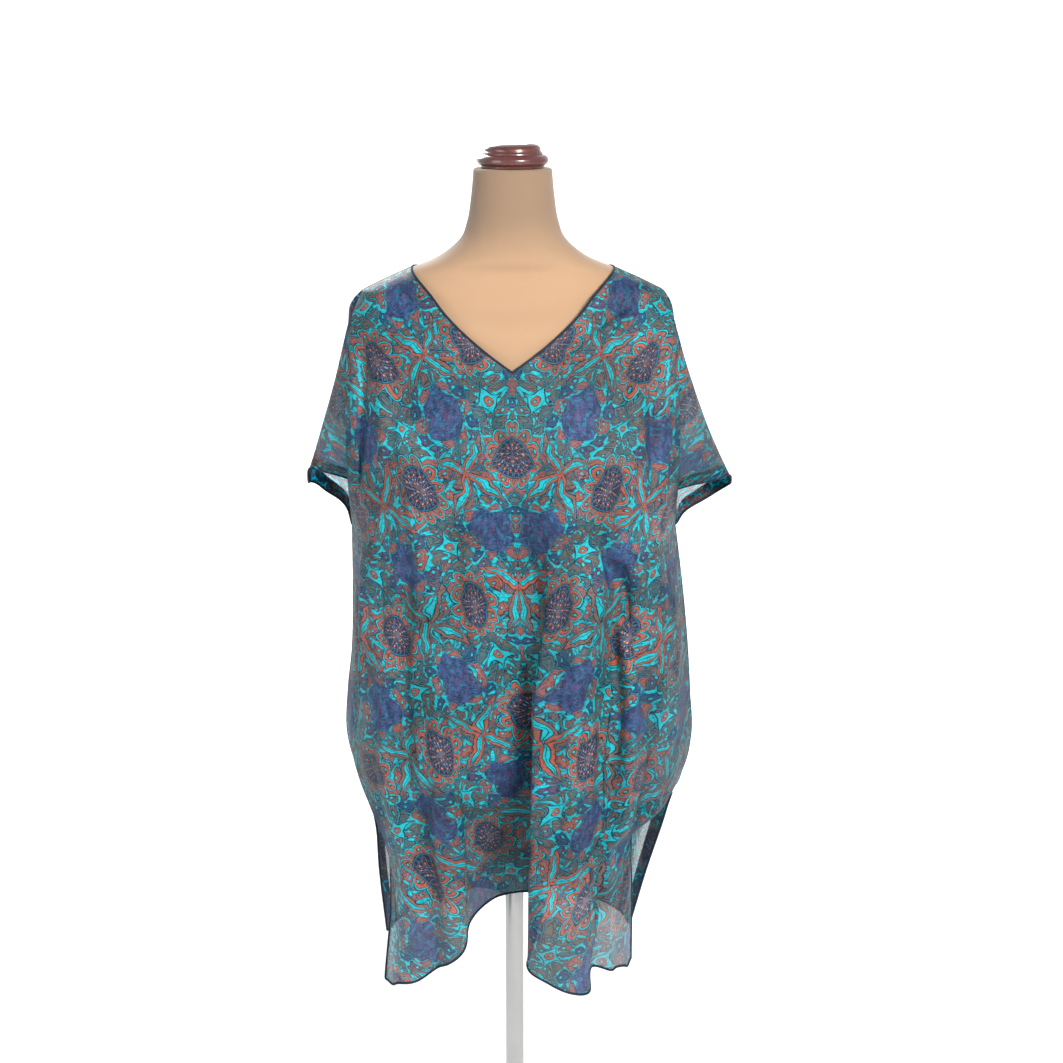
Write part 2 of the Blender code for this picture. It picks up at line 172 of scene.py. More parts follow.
# Side seam, which both halves share, and slit edge: height, left half width, right half width,
# distance from y = 0.
SEAM = [
    (1.030, 0.211, 0.211, 0.000),
    (0.930, 0.212, 0.224, 0.000),
    (0.860, 0.215, 0.231, 0.000),
    (0.800, 0.222, 0.235, 0.000),
    (0.740, 0.224, 0.238, 0.000),
    (0.690, 0.212, 0.228, 0.000),
]
SIDE = {
    "front": SEAM + [
        (0.655, 0.197, 0.208, 0.002),
        (0.634, 0.186, 0.164, 0.018),
        (0.600, 0.171, 0.157, 0.034),
        (0.540, 0.166, 0.158, 0.042),
        (0.410, 0.175, 0.158, 0.056),
    ],
    "back": SEAM + [
        (0.655, 0.199, 0.214, 0.000),
        (0.600, 0.190, 0.202, 0.020),
        (0.530, 0.188, 0.184, 0.036),
        (0.420, 0.180, 0.158, 0.052),
    ],
}
# Large folds: name, across, hip x, hip y, hem x, hem y, hem height.
FOLDS = {
    "front": [
        ("left seam", -1.00, -0.224, 0.000, -0.175, -0.056, 0.406),
        ("left turn", -0.83, -0.209, -0.062, -0.158, -0.080, 0.4125),
        ("left panel", -0.68, -0.172, -0.120, -0.130, -0.094, 0.423),
        ("left groove", -0.58, -0.142, -0.120, -0.109, -0.090, 0.436),
        ("left crest", -0.46, -0.108, -0.148, -0.083, -0.110, 0.461),
        ("valley wall", -0.30, -0.062, -0.138, -0.060, -0.074, 0.500),
        ("valley", -0.14, -0.020, -0.120, -0.020, -0.036, 0.519),
        ("valley foot", -0.01, 0.014, -0.114, 0.022, -0.040, 0.521),
        ("lobe wall", 0.11, 0.030, -0.136, 0.029, -0.110, 0.494),
        ("lobe left", 0.23, 0.042, -0.166, 0.036, -0.165, 0.469),
        ("lobe front", 0.35, 0.068, -0.180, 0.066, -0.186, 0.456),
        ("lobe right", 0.47, 0.096, -0.168, 0.098, -0.172, 0.448),
        ("step", 0.58, 0.112, -0.132, 0.102, -0.130, 0.461),
        ("right fold", 0.70, 0.145, -0.142, 0.126, -0.120, 0.4555),
        ("right turn", 0.86, 0.208, -0.080, 0.152, -0.096, 0.4475),
        ("right seam", 1.00, 0.238, 0.000, 0.158, -0.056, 0.435),
    ],
    "back": [
        ("left seam", -1.00, -0.224, 0.000, -0.180, 0.052, 0.424),
        ("left turn", -0.80, -0.204, 0.072, -0.163, 0.096, 0.424),
        ("left crest", -0.62, -0.158, 0.130, -0.128, 0.144, 0.427),
        ("left valley", -0.44, -0.110, 0.126, -0.096, 0.116, 0.442),
        ("inner crest", -0.24, -0.060, 0.160, -0.052, 0.176, 0.430),
        ("middle valley", 0.00, 0.000, 0.134, 0.006, 0.132, 0.446),
        ("right crest", 0.25, 0.066, 0.160, 0.054, 0.178, 0.432),
        ("right valley", 0.45, 0.114, 0.124, 0.090, 0.122, 0.444),
        ("outer crest", 0.63, 0.166, 0.124, 0.124, 0.138, 0.430),
        ("right turn", 0.82, 0.214, 0.074, 0.148, 0.094, 0.434),
        ("right seam", 1.00, 0.238, 0.000, 0.158, 0.052, 0.436),
    ],
}

# ---------------------------------------------------------------- sizes of the looks
GRID = {"columns": 272, "chest": 56, "arm": 30, "skirt": 150, "sleeve": 30}
CHEST_ROW_BUNCH = 1.5  # rows lie closer together near the neck
EDGE_RADIUS = 0.0016  # rolled hem
SEAM_RADIUS = 0.0006
EDGE_STEP = 0.003
SEAM_STEP = 0.004
CUFF_DEPTH = 0.018
CUFF_ROWS = 7
CUFF_LAYER = 0.0006  # how far each layer of a turned hem lies from the cloth
SLIT_LAYER = 0.0009
SLIT_COLUMNS = 12
CLOTH_OFF_FORM = 0.0010
CUT_GRID = (241, 220)  # places across and up at which the flat cut is measured
CUT_HEIGHTS = (0.395, 1.395)
# The turn at the bust line is evened out: rounds, strength and reach.
BUST_ROUNDS = 60
BUST_EVEN = 0.24
BUST_REACH = 0.035
NECK_SETTLE = (0.022, 0.0026)  # reach and drop at the neck's corners
RIPPLE = 0.0012
# Small waves: phase for each metre across and down, and where they start.
WAVES = ((62, 5.1, 0.0), (94, -7.3, 1.7), (46, 9.7, 4.1), (166, 6.1, 2.6), (26, -17.0, 5.2))
# Heights between which the cloth comes loose from the form, and where its waves start.
LOOSE = {"front": (1.16, 0.98, 0.0), "back": (1.22, 1.02, 2.4)}

# Creases. Each runs through three places (across, height) down the panel, and is a ridge where
# its height is above 0, or else a trough. Presses are sharp ironed lines, and at a step one side
# lies over the other. Columns: the three places, height in mm, half width in mm.
CREASES = {
    "front": [
        (-0.74, 1.332, -0.463, 1.299, -0.2, 1.246, 5, 12),
        (-0.6, 1.334, -0.325, 1.287, -0.13, 1.236, -3.4, 10),
        (-0.79, 1.3, -0.56, 1.226, -0.33, 1.13, -5.2, 15),
        (0.725, 1.326, 0.4, 1.291, 0.18, 1.24, 4.6, 12),
        (0.62, 1.336, 0.34, 1.288, 0.12, 1.236, -3, 10),
        (0.72, 1.29, 0.5, 1.215, 0.3, 1.12, -4.6, 16),
        (-0.18, 1.226, -0.085, 1.18, -0.02, 1.12, -4.6, 12),
        (-0.08, 1.226, 0.02, 1.16, 0.05, 1.08, 3.4, 12),
        (0.18, 1.2, 0.11, 1.13, 0.09, 1.04, -3.6, 11),
        (-0.825, 1.29, -0.832, 1.2, -0.88, 1.08, -10, 11),
        (-0.655, 1.29, -0.65, 1.214, -0.6, 1.13, 7, 11),
        (-0.59, 1.1, -0.675, 0.987, -0.69, 0.88, -7.5, 12),
        (-0.56, 1.2, -0.512, 1.12, -0.45, 1, 4.4, 8),
        (-0.78, 1.04, -0.79, 0.92, -0.78, 0.8, 6, 11),
        (-0.87, 0.98, -0.86, 0.88, -0.85, 0.74, -8, 11),
        (0.81, 1.305, 0.74, 1.23, 0.76, 1.09, -9.5, 11),
        (0.6, 1.26, 0.61, 1.16, 0.6, 1.04, 5.6, 11),
        (0.385, 1.16, 0.47, 1.08, 0.65, 0.99, 6.6, 9),
        (0.43, 1.08, 0.713, 0.91, 0.8, 0.77, -17.5, 14),
        (0.79, 0.87, 0.8, 0.774, 0.765, 0.65, -15, 12),
        (0.56, 1.01, 0.66, 0.89, 0.69, 0.69, 7, 8),
        (0.56, 0.95, 0.625, 0.86, 0.64, 0.73, -5, 7),
        (0.87, 0.99, 0.875, 0.88, 0.87, 0.75, 6.6, 10),
        (0.58, 0.9, 0.58, 0.7, 0.58, 0.45, 13, 13),
        (-0.3, 1.12, -0.33, 0.96, -0.35, 0.78, -5, 13),
        (-0.23, 1.06, -0.215, 0.9, -0.205, 0.74, 4.6, 10),
        (-0.13, 1.03, -0.12, 0.88, -0.11, 0.72, -3.6, 8),
        (-0.04, 1.02, -0.03, 0.9, -0.03, 0.78, 3.6, 8),
        (0.06, 1.06, 0.11, 0.92, 0.06, 0.76, -6, 9),
        (0.18, 1.08, 0.215, 0.92, 0.2, 0.78, 5, 9),
        (0.3, 1.04, 0.29, 0.9, 0.285, 0.74, -3.4, 9),
        (-0.48, 0.94, -0.47, 0.8, -0.5, 0.64, -4.6, 11),
        (-0.4, 0.88, -0.41, 0.74, -0.4, 0.56, 4.4, 9),
        (-0.7, 0.86, -0.72, 0.76, -0.74, 0.62, -5.6, 11),
        (-0.52, 0.72, -0.54, 0.6, -0.55, 0.48, -4.6, 9),
        (-0.36, 0.7, -0.37, 0.59, -0.39, 0.48, 5, 8),
        (0.3, 0.78, 0.31, 0.65, 0.3, 0.5, -3.6, 9),
        (0.39, 0.76, 0.395, 0.64, 0.39, 0.5, 3, 8),
        (0.68, 0.64, 0.69, 0.56, 0.68, 0.48, -4, 8),
        (0.83, 0.64, 0.84, 0.56, 0.84, 0.47, -4.4, 9),
        (-0.86, 0.64, -0.85, 0.54, -0.84, 0.44, -4.4, 9),
    ],
    "back": [
        (-0.69, 1.29, -0.69, 1.17, -0.71, 1.03, 7.1, 11),
        (-0.79, 1.29, -0.78, 1.17, -0.79, 1.04, -6.1, 9),
        (0.66, 1.3, 0.67, 1.16, 0.69, 1, 6.8, 11),
        (0.78, 1.29, 0.79, 1.17, 0.8, 1.02, -6.1, 9),
        (-0.52, 1.27, -0.51, 1.08, -0.5, 0.88, -5.8, 13),
        (0.5, 1.27, 0.505, 1.09, 0.49, 0.86, -5.8, 13),
        (-0.14, 1.2, -0.11, 1, -0.09, 0.78, -5.8, 14),
        (-0.02, 1.14, 0, 0.98, -0.01, 0.8, 4.4, 11),
        (0.13, 1.18, 0.12, 1.01, 0.13, 0.83, -5.1, 12),
        (0.22, 1.1, 0.23, 0.96, 0.24, 0.8, 5.1, 10),
        (-0.25, 1.12, -0.24, 0.97, -0.24, 0.79, 5.4, 11),
        (-0.87, 0.98, -0.86, 0.87, -0.87, 0.74, -6.5, 10),
        (-0.78, 0.93, -0.77, 0.82, -0.78, 0.7, 5.1, 9),
        (0.86, 1, 0.86, 0.88, 0.87, 0.76, -6.8, 10),
        (0.78, 0.92, 0.77, 0.8, 0.76, 0.68, 5.1, 9),
        (-0.33, 0.7, -0.33, 0.58, -0.32, 0.47, -5.1, 10),
        (0.02, 0.68, 0.01, 0.57, 0, 0.48, 4.4, 9),
        (0.33, 0.7, 0.34, 0.57, 0.35, 0.47, -5.4, 10),
        (-0.72, 0.7, -0.72, 0.58, -0.71, 0.46, -5.1, 9),
        (0.73, 0.68, 0.73, 0.57, 0.74, 0.46, -5.1, 9),
    ],
}
PRESSES = {
    "front": [
        (-0.41, 1.16, -0.463, 0.996, -0.55, 0.8, 4.6, 4.6),
        (-0.575, 1.041, -0.6, 0.944, -0.65, 0.82, 4.6, 4.6),
        (-0.6, 0.735, -0.662, 0.638, -0.735, 0.53, 4.6, 4.6),
        (-0.137, 0.735, -0.137, 0.671, -0.137, 0.6, 4.6, 4.6),
        (0.475, 0.86, 0.48, 0.7, 0.475, 0.47, 4.6, 4.6),
    ],
    "back": [
        (-0.35, 1.24, -0.37, 1.02, -0.38, 0.76, 4.6, 4.6),
        (0.36, 1.22, 0.35, 0.98, 0.355, 0.7, 4.6, 4.6),
        (0.11, 0.98, 0.12, 0.78, 0.11, 0.56, 4.6, 4.6),
        (-0.62, 0.88, -0.62, 0.72, -0.63, 0.5, 4.6, 4.6),
    ],
}
STEPS = {
    "front": [],
    "back": [
        (0.6, 0.96, 0.59, 0.85, 0.57, 0.7, 5.4, 7.5),
        (-0.44, 0.9, -0.47, 0.78, -0.48, 0.64, 5.4, 7.5),
    ],
}
CREASE_FADE = 0.22  # share of a crease's length over which each end dies away
LEAN_FADE = 0.35  # share of a lean's height over which it comes in

# Leans. The cloth is moved sideways, so that a fold hangs over the cloth beside it.
# Columns: across, its half width, top height, bottom height, move to the right, move forward.
ARM_LEANS = [
    (-0.900, 0.050, 1.280, 0.980, 0.002, 0.008),
    (0.900, 0.050, 1.290, 0.980, -0.002, 0.008),
]
LEANS = {
    "front": [
        (0.190, 0.055, 1.000, 0.440, -0.014, 0.006),
        (0.030, 0.055, 0.930, 0.500, 0.012, -0.014),
        (0.690, 0.045, 0.980, 0.560, 0.006, 0.007),
        (-0.390, 0.060, 0.800, 0.450, 0.008, 0.005),
        (-0.560, 0.045, 0.980, 0.440, 0.002, -0.005),
    ] + ARM_LEANS,
    "back": [
        (-0.240, 0.080, 1.000, 0.440, -0.008, 0.007),
        (-0.080, 0.070, 0.980, 0.440, 0.000, -0.008),
        (0.250, 0.080, 1.020, 0.440, 0.009, 0.007),
        (0.450, 0.060, 1.000, 0.440, 0.002, -0.009),
        (-0.440, 0.060, 0.980, 0.440, -0.002, -0.009),
        (0.630, 0.060, 0.980, 0.440, -0.006, 0.006),
        (-0.620, 0.060, 0.960, 0.440, 0.006, 0.006),
    ] + ARM_LEANS,
}

EDGE_SLACK = 0.002  # how far past its end an edge's points are still picked
CORNER_ROUNDS = 8  # the neck edge's corners are eased where the panels meet
CORNER_REACH = 0.008
ANY_DIRECTION = (0.31, 0.77, 0.55)  # a direction that no path runs along
ON_AXIS = 1e-5
FLOOR_RADIUS = 5.0
WALL_CURVE = 3.0
WALL_TOP = 6.5
PHOTO_SIDE = 1063  # pixels
FOCAL_PIXELS = 1896
CAMERA_PLACE = (0.0234, -2.4, 1.64)
CAMERA_DOWN = 14.5  # degrees below level

# The print's colours and sizes. Its sizes are in millimetres of its own.
TURQUOISE = (0.008, 0.360, 0.420)
TEAL = (0.004, 0.140, 0.220)
NAVY = (0.018, 0.034, 0.115)
PLUM = (0.070, 0.055, 0.100)
BROWN = (0.135, 0.086, 0.078)
OLIVE = (0.075, 0.095, 0.085)
RUST = (0.310, 0.076, 0.050)
ORANGE = (0.600, 0.200, 0.060)
INK = (0.004, 0.008, 0.018)
SHRINK = 0.92  # the print's scale on the cloth
TILE = (66.0, 86.0)  # half a repeat
TILT = math.radians(21)  # the repeat's slope, mirrored about the middle of the panel
WARP = 44.0  # how far noise moves the motifs
CELL_SCALE = 0.062  # cells of the field for each millimetre
# Shares of the cells: each tone holds from its place to the next one's.
CELL_TONES = (
    (0.0, BROWN), (0.22, NAVY), (0.33, OLIVE), (0.44, RUST), (0.58, BROWN), (0.70, PLUM),
    (0.80, TEAL), (0.88, BROWN), (0.95, TURQUOISE),
)
LEAF_LENGTH = 50.0
# Dots in a rosette's eye: radius of their ring, how many in half of it, size, tone.
EYE_DOTS = (
    (18.0, 16, 0.80, TEAL),
    (14.2, 12, 0.90, ORANGE),
    (10.2, 9, 0.80, (0.12, 0.28, 0.40)),
    (5.8, 5, 0.90, ORANGE),
)
WARP_PITCH = 0.55  # threads of the chiffon
WEFT_PITCH = 0.60
KNIT_ROW = 0.0011  # the jersey's rows, in metres
KNIT_WALES = 760.0  # phase for each radian round the form

# ---------------------------------------------------------------- reading the tables
def curve(table, column, at):
    """One column of a table read at a height, on a smooth curve through its rows."""
    rows = sorted(table)
    places = np.array([row[0] for row in rows])
    values = np.array([row[column] for row in rows])
    slopes = np.gradient(values, places)
    at = np.clip(np.asarray(at, dtype=float), places[0], places[-1])
    i = np.clip(np.searchsorted(places, at) - 1, 0, len(places) - 2)
    step = places[i + 1] - places[i]
    t = (at - places[i]) / step
    return (
        (1 + 2 * t) * (1 - t) ** 2 * values[i]
        + t * (1 - t) ** 2 * step * slopes[i]
        + t * t * (3 - 2 * t) * values[i + 1]
        + t * t * (t - 1) * step * slopes[i + 1]
    )


def superellipse(share, power):
    return (1 - np.minimum(np.abs(share), 1) ** power) ** (1 / power)


def smooth(low, high, value):
    """0 below low, 1 above high and an even turn between them."""
    t = np.clip((value - low) / (high - low), 0, 1)
    return t * t * (3 - 2 * t)


def arc_length(points, axis):
    """Distance along each line of a grid of points, from the line's first point."""
    steps = np.linalg.norm(np.diff(points, axis=axis), axis=-1)
    start = np.zeros_like(np.take(steps, [0], axis=axis))
    return np.concatenate([start, np.cumsum(steps, axis=axis)], axis=axis)


def ridge_half_width(height):
    return SHOULDER_TIP[0] - (height - SHOULDER_TIP[1]) * RIDGE_RUN


def ridge_height(x):
    return SHOULDER_TIP[1] + (SHOULDER_TIP[0] - np.abs(x)) / RIDGE_RUN


class Panel:
    """The front or the back of the kaftan: where each point of its cloth lies.

    across runs from -1 at the left side to 1 at the right one.
    """

    def __init__(self, name):
        self.name = name
        self.sign = -1 if name == "front" else 1
        self.depth_column = 1 if name == "front" else 2
        self.side = SIDE[name]
        self.folds = [row[1:] for row in FOLDS[name]]

    def bust_x(self, across):
        even = np.sin(across * math.pi / 2 * BUST_SPREAD) / math.sin(math.pi / 2 * BUST_SPREAD)
        return curve(ARMHOLE, 1, BUST) * even

    def chest(self, across, height):
        level = np.minimum(height, SHOULDER_TIP[1])
        x = self.bust_x(across) * curve(ARMHOLE, 1, level) / curve(ARMHOLE, 1, BUST)
        depth = curve(CHEST, self.depth_column, height)
        share = superellipse(curve(ARMHOLE, 2, height) / depth, CHEST_POWER)
        below = curve(ARMHOLE, 1, height) / share
        half_width = np.where(height < SHOULDER_TIP[1], below, ridge_half_width(height))
        y = self.sign * depth * superellipse(x / half_width, CHEST_POWER)
        return np.stack(np.broadcast_arrays(x, y, height), axis=-1)

    def top(self, across):
        x = np.abs(self.chest(across, np.full_like(across, SHOULDER_TIP[1]))[..., 0])
        if self.name == "front":
            neck = V_BOTTOM + V_SLOPE * x + V_CURVE * x * x
        else:
            neck = NECK_POINT[1] - BACK_NECK_DROP * (1 - (x / NECK_POINT[0]) ** 2)
        return np.where(x >= NECK_POINT[0], ridge_height(x), neck)

    def hem(self, across):
        return np.stack([curve(self.folds, i, across) for i in (3, 4, 5)], axis=-1)

    def skirt(self, across, height):
        bust = self.chest(across, np.full_like(height, BUST))
        hip_x, hip_y = curve(self.folds, 1, across), curve(self.folds, 2, across)
        hip = np.stack([hip_x, hip_y, np.full_like(across, HIP)], axis=-1)
        hem = self.hem(across)
        drop = np.clip((BUST - height) / (BUST - HIP), 0, 1) ** DRAPE
        down = np.clip((HIP - height) / (HIP - hem[..., 2]), 0, 1)
        upper = bust + (hip - bust) * drop[..., None]
        lower = hip + (hem - hip) * down[..., None]
        point = np.where((height >= HIP)[..., None], upper, lower)
        point[..., 2] = height
        return point

    def body(self, across, height):
        """Points of the cloth between the armholes and side seams."""
        across, height = (np.array(a, dtype=float) for a in np.broadcast_arrays(across, height))
        over = self.chest(across, np.maximum(height, BUST))
        point = self.skirt(across, height)
        hand = np.where(across < 0, -1.0, 1.0)
        end = self.skirt(hand, height)
        side_x = np.where(across < 0, -curve(self.side, 1, height), curve(self.side, 2, height))
        side_y = self.sign * curve(self.side, 3, height)
        arm = height > UNDERARM
        x = np.where(arm, hand * curve(ARMHOLE, 1, height), side_x)
        y = np.where(arm, self.sign * curve(ARMHOLE, 2, height), side_y)
        point[..., 0] += (x - end[..., 0]) * np.abs(across) ** SIDE_EASE[0]
        point[..., 1] += (y - end[..., 1]) * np.abs(across) ** SIDE_EASE[1]
        return np.where((height >= BUST)[..., None], over, point)

    def heights(self, across):
        """Heights of a grid of rows for these columns, the top row first."""
        top = self.top(across)[:, None]
        hem = self.hem(across)[:, 2][:, None]
        i = np.arange(GRID["chest"]) / GRID["chest"]
        chest = top + (BUST - top) * i[None, :] ** CHEST_ROW_BUNCH
        arm = BUST + (UNDERARM - BUST) * np.arange(GRID["arm"])[None, :] / GRID["arm"]
        i = np.arange(GRID["skirt"] + 1)[None, :] / GRID["skirt"]
        skirt = UNDERARM + (hem - UNDERARM) * i
        return np.concatenate([chest, np.repeat(arm, len(across), axis=0), skirt], axis=1)

    def sleeve(self, hand, heights, share):
        """Sleeve points. Rows run down from the shoulder tip, share from armhole to upper edge."""
        root = self.body(np.full_like(heights, hand), heights)[:, None, :]
        along = np.linspace(0, 1, len(heights))[:, None]
        height = SLEEVE_TOP[0][0] + (SLEEVE_TOP[-1][0] - SLEEVE_TOP[0][0]) * along
        edge_x = hand * curve(SLEEVE_TOP, 1 if hand < 0 else 2, height)
        edge = np.stack([edge_x, 0 * height, height], axis=-1)
        share = share[None, :]
        half = np.sin(math.pi * share)
        point = root + (edge - root) * share[..., None]
        out = np.sin(share * math.pi / 2) ** SLEEVE_ROUND
        point[..., 0] = root[..., 0] + (edge[..., 0] - root[..., 0]) * out
        tuck = np.sin(math.pi * np.minimum(1, share * TUCK_REACH)) ** 2
        point[..., 0] -= hand * TUCK[self.name] * along * tuck
        point[..., 1] = root[..., 1] * (1 - share) ** SLEEVE_CLOSE[self.name]
        point[..., 1] += self.sign * SLEEVE_PUFF[self.name] * along * half
        if self.name == "back":
            point[..., 2] += (edge[..., 2] - root[..., 2]) * (out - share)
        lift = CUFF_LIFT[self.name][0 if hand < 0 else 1]
        point[..., 2] += lift * along**3 * np.maximum(half, 0) ** CUFF_ROUND
        return point


# ---------------------------------------------------------------- the cloth's flat cut
class Cut:
    """Flat places on a panel: distance from its middle and distance down, measured on the cloth."""

    def __init__(self, panel):
        self.across = np.linspace(-1, 1, CUT_GRID[0])
        self.height = np.linspace(*CUT_HEIGHTS, CUT_GRID[1])
        points = panel.body(*np.meshgrid(self.across, self.height, indexing="ij"))
        u, v = arc_length(points, 0), arc_length(points, 1)
        self.u = u - u[len(self.across) // 2][None, :]
        bust = np.array([np.interp(BUST, self.height, row) for row in v])
        self.v = bust[:, None] - v

    def read(self, table, across, height):
        """A table of this grid read between its places."""
        i = (np.asarray(across) + 1) / 2 * (len(self.across) - 1)
        span = self.height[-1] - self.height[0]
        j = (np.asarray(height) - self.height[0]) / span * (len(self.height) - 1)
        i = np.clip(i, 0, len(self.across) - 1.001)
        j = np.clip(j, 0, len(self.height) - 1.001)
        i0, j0 = i.astype(int), j.astype(int)
        fi, fj = i - i0, j - j0
        low = table[i0, j0] * (1 - fj) + table[i0, j0 + 1] * fj
        high = table[i0 + 1, j0] * (1 - fj) + table[i0 + 1, j0 + 1] * fj
        return low * (1 - fi) + high * fi

    def flat(self, across, height):
        return self.read(self.u, across, height), self.read(self.v, across, height)


def outward_normals(points, sign):
    """Unit normals of a grid of points, on the side that sign says along y."""
    normal = np.cross(np.gradient(points, axis=0), np.gradient(points, axis=1))
    normal /= np.maximum(np.linalg.norm(normal, axis=-1, keepdims=True), 1e-9)
    return -normal if np.median(normal[..., 1] * sign) < 0 else normal


def crease_offset(panel, cut, across, height):
    """How far the creases move the cloth along its outward normal."""
    total = 0
    for table, section in SECTIONS:
        for *path, size, width in table[panel.name]:
            levels = path[1::2]
            line = list(zip(levels, path[0::2]))
            distance = cut.flat(across, height)[0] - cut.flat(curve(line, 1, height), height)[0]
            run = (levels[0] - height) / (levels[0] - levels[2])
            ends = smooth(0, CREASE_FADE, run) * (1 - smooth(1 - CREASE_FADE, 1, run))
            total = total + size / 1000 * ends * section(distance * 1000 / width)
    return total


# How each kind of crease runs across, for distances in its half widths.
SECTIONS = (
    (CREASES, lambda at: np.exp(-(at**2))),
    (PRESSES, lambda at: np.exp(-np.abs(at))),
    (STEPS, lambda at: -at * np.exp(0.5 - 0.5 * at**2)),
)


def lean(panel, points, across, height):
    """Moves the points sideways and forward or back as the table of leans says."""
    for centre, reach, top, bottom, aside, out in LEANS[panel.name]:
        run = (top - height) / (top - bottom)
        share = np.exp(-(((across - centre) / reach) ** 2)) * smooth(0, LEAN_FADE, run)
        points[..., 0] += aside * share
        points[..., 1] += panel.sign * out * share


def ripple(u, v, phase):
    """The cloth's small unevenness, between about -1 and 1."""
    waves = [np.sin(u * across + v * down + start + phase) for across, down, start in WAVES]
    return sum(waves) / len(WAVES)


# ---------------------------------------------------------------- meshes
def link(name, data):
    made = bpy.data.objects.new(name, data)
    bpy.context.scene.collection.objects.link(made)
    return made


def new_mesh(name, points, faces, material, cuts=None):
    """A smooth object. cuts gives each point's place on the flat cloth, for the print."""
    mesh = bpy.data.meshes.new(name)
    mesh.from_pydata([tuple(p) for p in points], [], [tuple(int(i) for i in f) for f in faces])
    mesh.materials.append(material)
    if cuts is not None:
        layer = mesh.uv_layers.new(name="cut")
        index = np.zeros(len(mesh.loops), dtype=np.int32)
        mesh.loops.foreach_get("vertex_index", index)
        layer.data.foreach_set("uv", np.asarray(cuts, dtype=np.float32)[index].ravel())
    mesh.shade_smooth()
    return link(name, mesh)


def grid_faces(columns, rows, start=0, flip=False):
    """Quads of a grid stored column by column."""
    c, r = np.meshgrid(np.arange(columns - 1), np.arange(rows - 1), indexing="ij")
    a = start + c * rows + r
    quads = np.stack([a, a + 1, a + rows + 1, a + rows], axis=-1).reshape(-1, 4)
    return quads[:, ::-1] if flip else quads


def ring_faces(rings, sides, start=0, closed=False):
    """Quads between rings of points stored one after another."""
    faces = []
    for i in range(rings if closed else rings - 1):
        a, b = start + i * sides, start + (i + 1) % rings * sides
        for k in range(sides):
            m = (k + 1) % sides
            faces.append((a + m, a + k, b + k, b + m))
    return faces


def fan_faces(centre, start, sides):
    """Triangles from a point to a ring of points."""
    return [(centre, start + k, start + (k + 1) % sides) for k in range(sides)]


def flipped(faces):
    return [face[::-1] for face in faces]


def circle(sides):
    return 2 * math.pi * np.arange(sides) / sides


def tube(name, path, radius, material, closed=False, sides=8):
    """A round cord of cloth along a path, such as a rolled edge or a sewn seam."""
    count = len(path)
    if closed:
        tangent = np.roll(path, -1, axis=0) - np.roll(path, 1, axis=0)
    else:
        tangent = np.concatenate([path[1:], path[-1:]]) - np.concatenate([path[:1], path[:-1]])
    tangent /= np.maximum(np.linalg.norm(tangent, axis=1, keepdims=True), 1e-9)
    reference = np.cross(tangent[0], ANY_DIRECTION)
    normals = []
    for t in tangent:
        reference = reference - t * np.dot(reference, t)
        reference /= np.linalg.norm(reference)
        normals.append(reference)
    first = np.array(normals)[:, None]
    second = np.cross(tangent, first[:, 0])[:, None]
    turn = circle(sides)[None, :, None]
    ring = first * np.cos(turn) + second * np.sin(turn)
    points = (path[:, None] + ring * radius).reshape(-1, 3)
    faces = flipped(ring_faces(count, sides, 0, closed))
    if not closed:
        faces.append(tuple(range(sides))[::-1])
        faces.append(tuple((count - 1) * sides + k for k in range(sides)))
    return new_mesh(name, points, faces, material)


def resample(path, step):
    """The same path with points at an even spacing."""
    apart = np.linalg.norm(np.diff(path, axis=0), axis=1) > 1e-6
    path = path[np.concatenate([[True], apart])]
    along = arc_length(path, 0)
    count = max(3, int(round(along[-1] / step)) + 1)
    at = np.linspace(0, along[-1], count)
    return np.stack([np.interp(at, along, path[:, i]) for i in range(3)], axis=1)


def lathe(name, outline, material, sides):
    """A turned surface from (radius, height) pairs that start on the axis."""
    rings = [pair for pair in outline if pair[0] > ON_AXIS]
    points = [(0, 0, outline[0][1])]
    for radius, height in rings:
        points += [(radius * math.cos(t), radius * math.sin(t), height) for t in circle(sides)]
    faces = fan_faces(0, 1, sides) + ring_faces(len(rings), sides, 1)
    if outline[-1][0] <= ON_AXIS:
        faces += flipped(fan_faces(len(points), len(points) - sides, sides))
        points.append((0, 0, outline[-1][1]))
    return new_mesh(name, points, faces, material)


def turned(name, profile, foot, material, sides, rounding):
    """A turned piece that stands at foot, its profile's corners rounded."""
    profile = [np.array((radius, foot + height)) for radius, height in profile]
    outline = [profile[0]]
    for before, corner, after in zip(profile, profile[1:], profile[2:]):
        back, on = before - corner, after - corner
        cut = min(rounding, 0.45 * np.linalg.norm(back), 0.45 * np.linalg.norm(on))
        start = corner + back / np.linalg.norm(back) * cut
        end = corner + on / np.linalg.norm(on) * cut
        for t in (0, 0.25, 0.5, 0.75, 1):
            outline.append((1 - t) ** 2 * start + 2 * t * (1 - t) * corner + t * t * end)
    outline.append(profile[-1])
    return lathe(name, outline, material, sides)


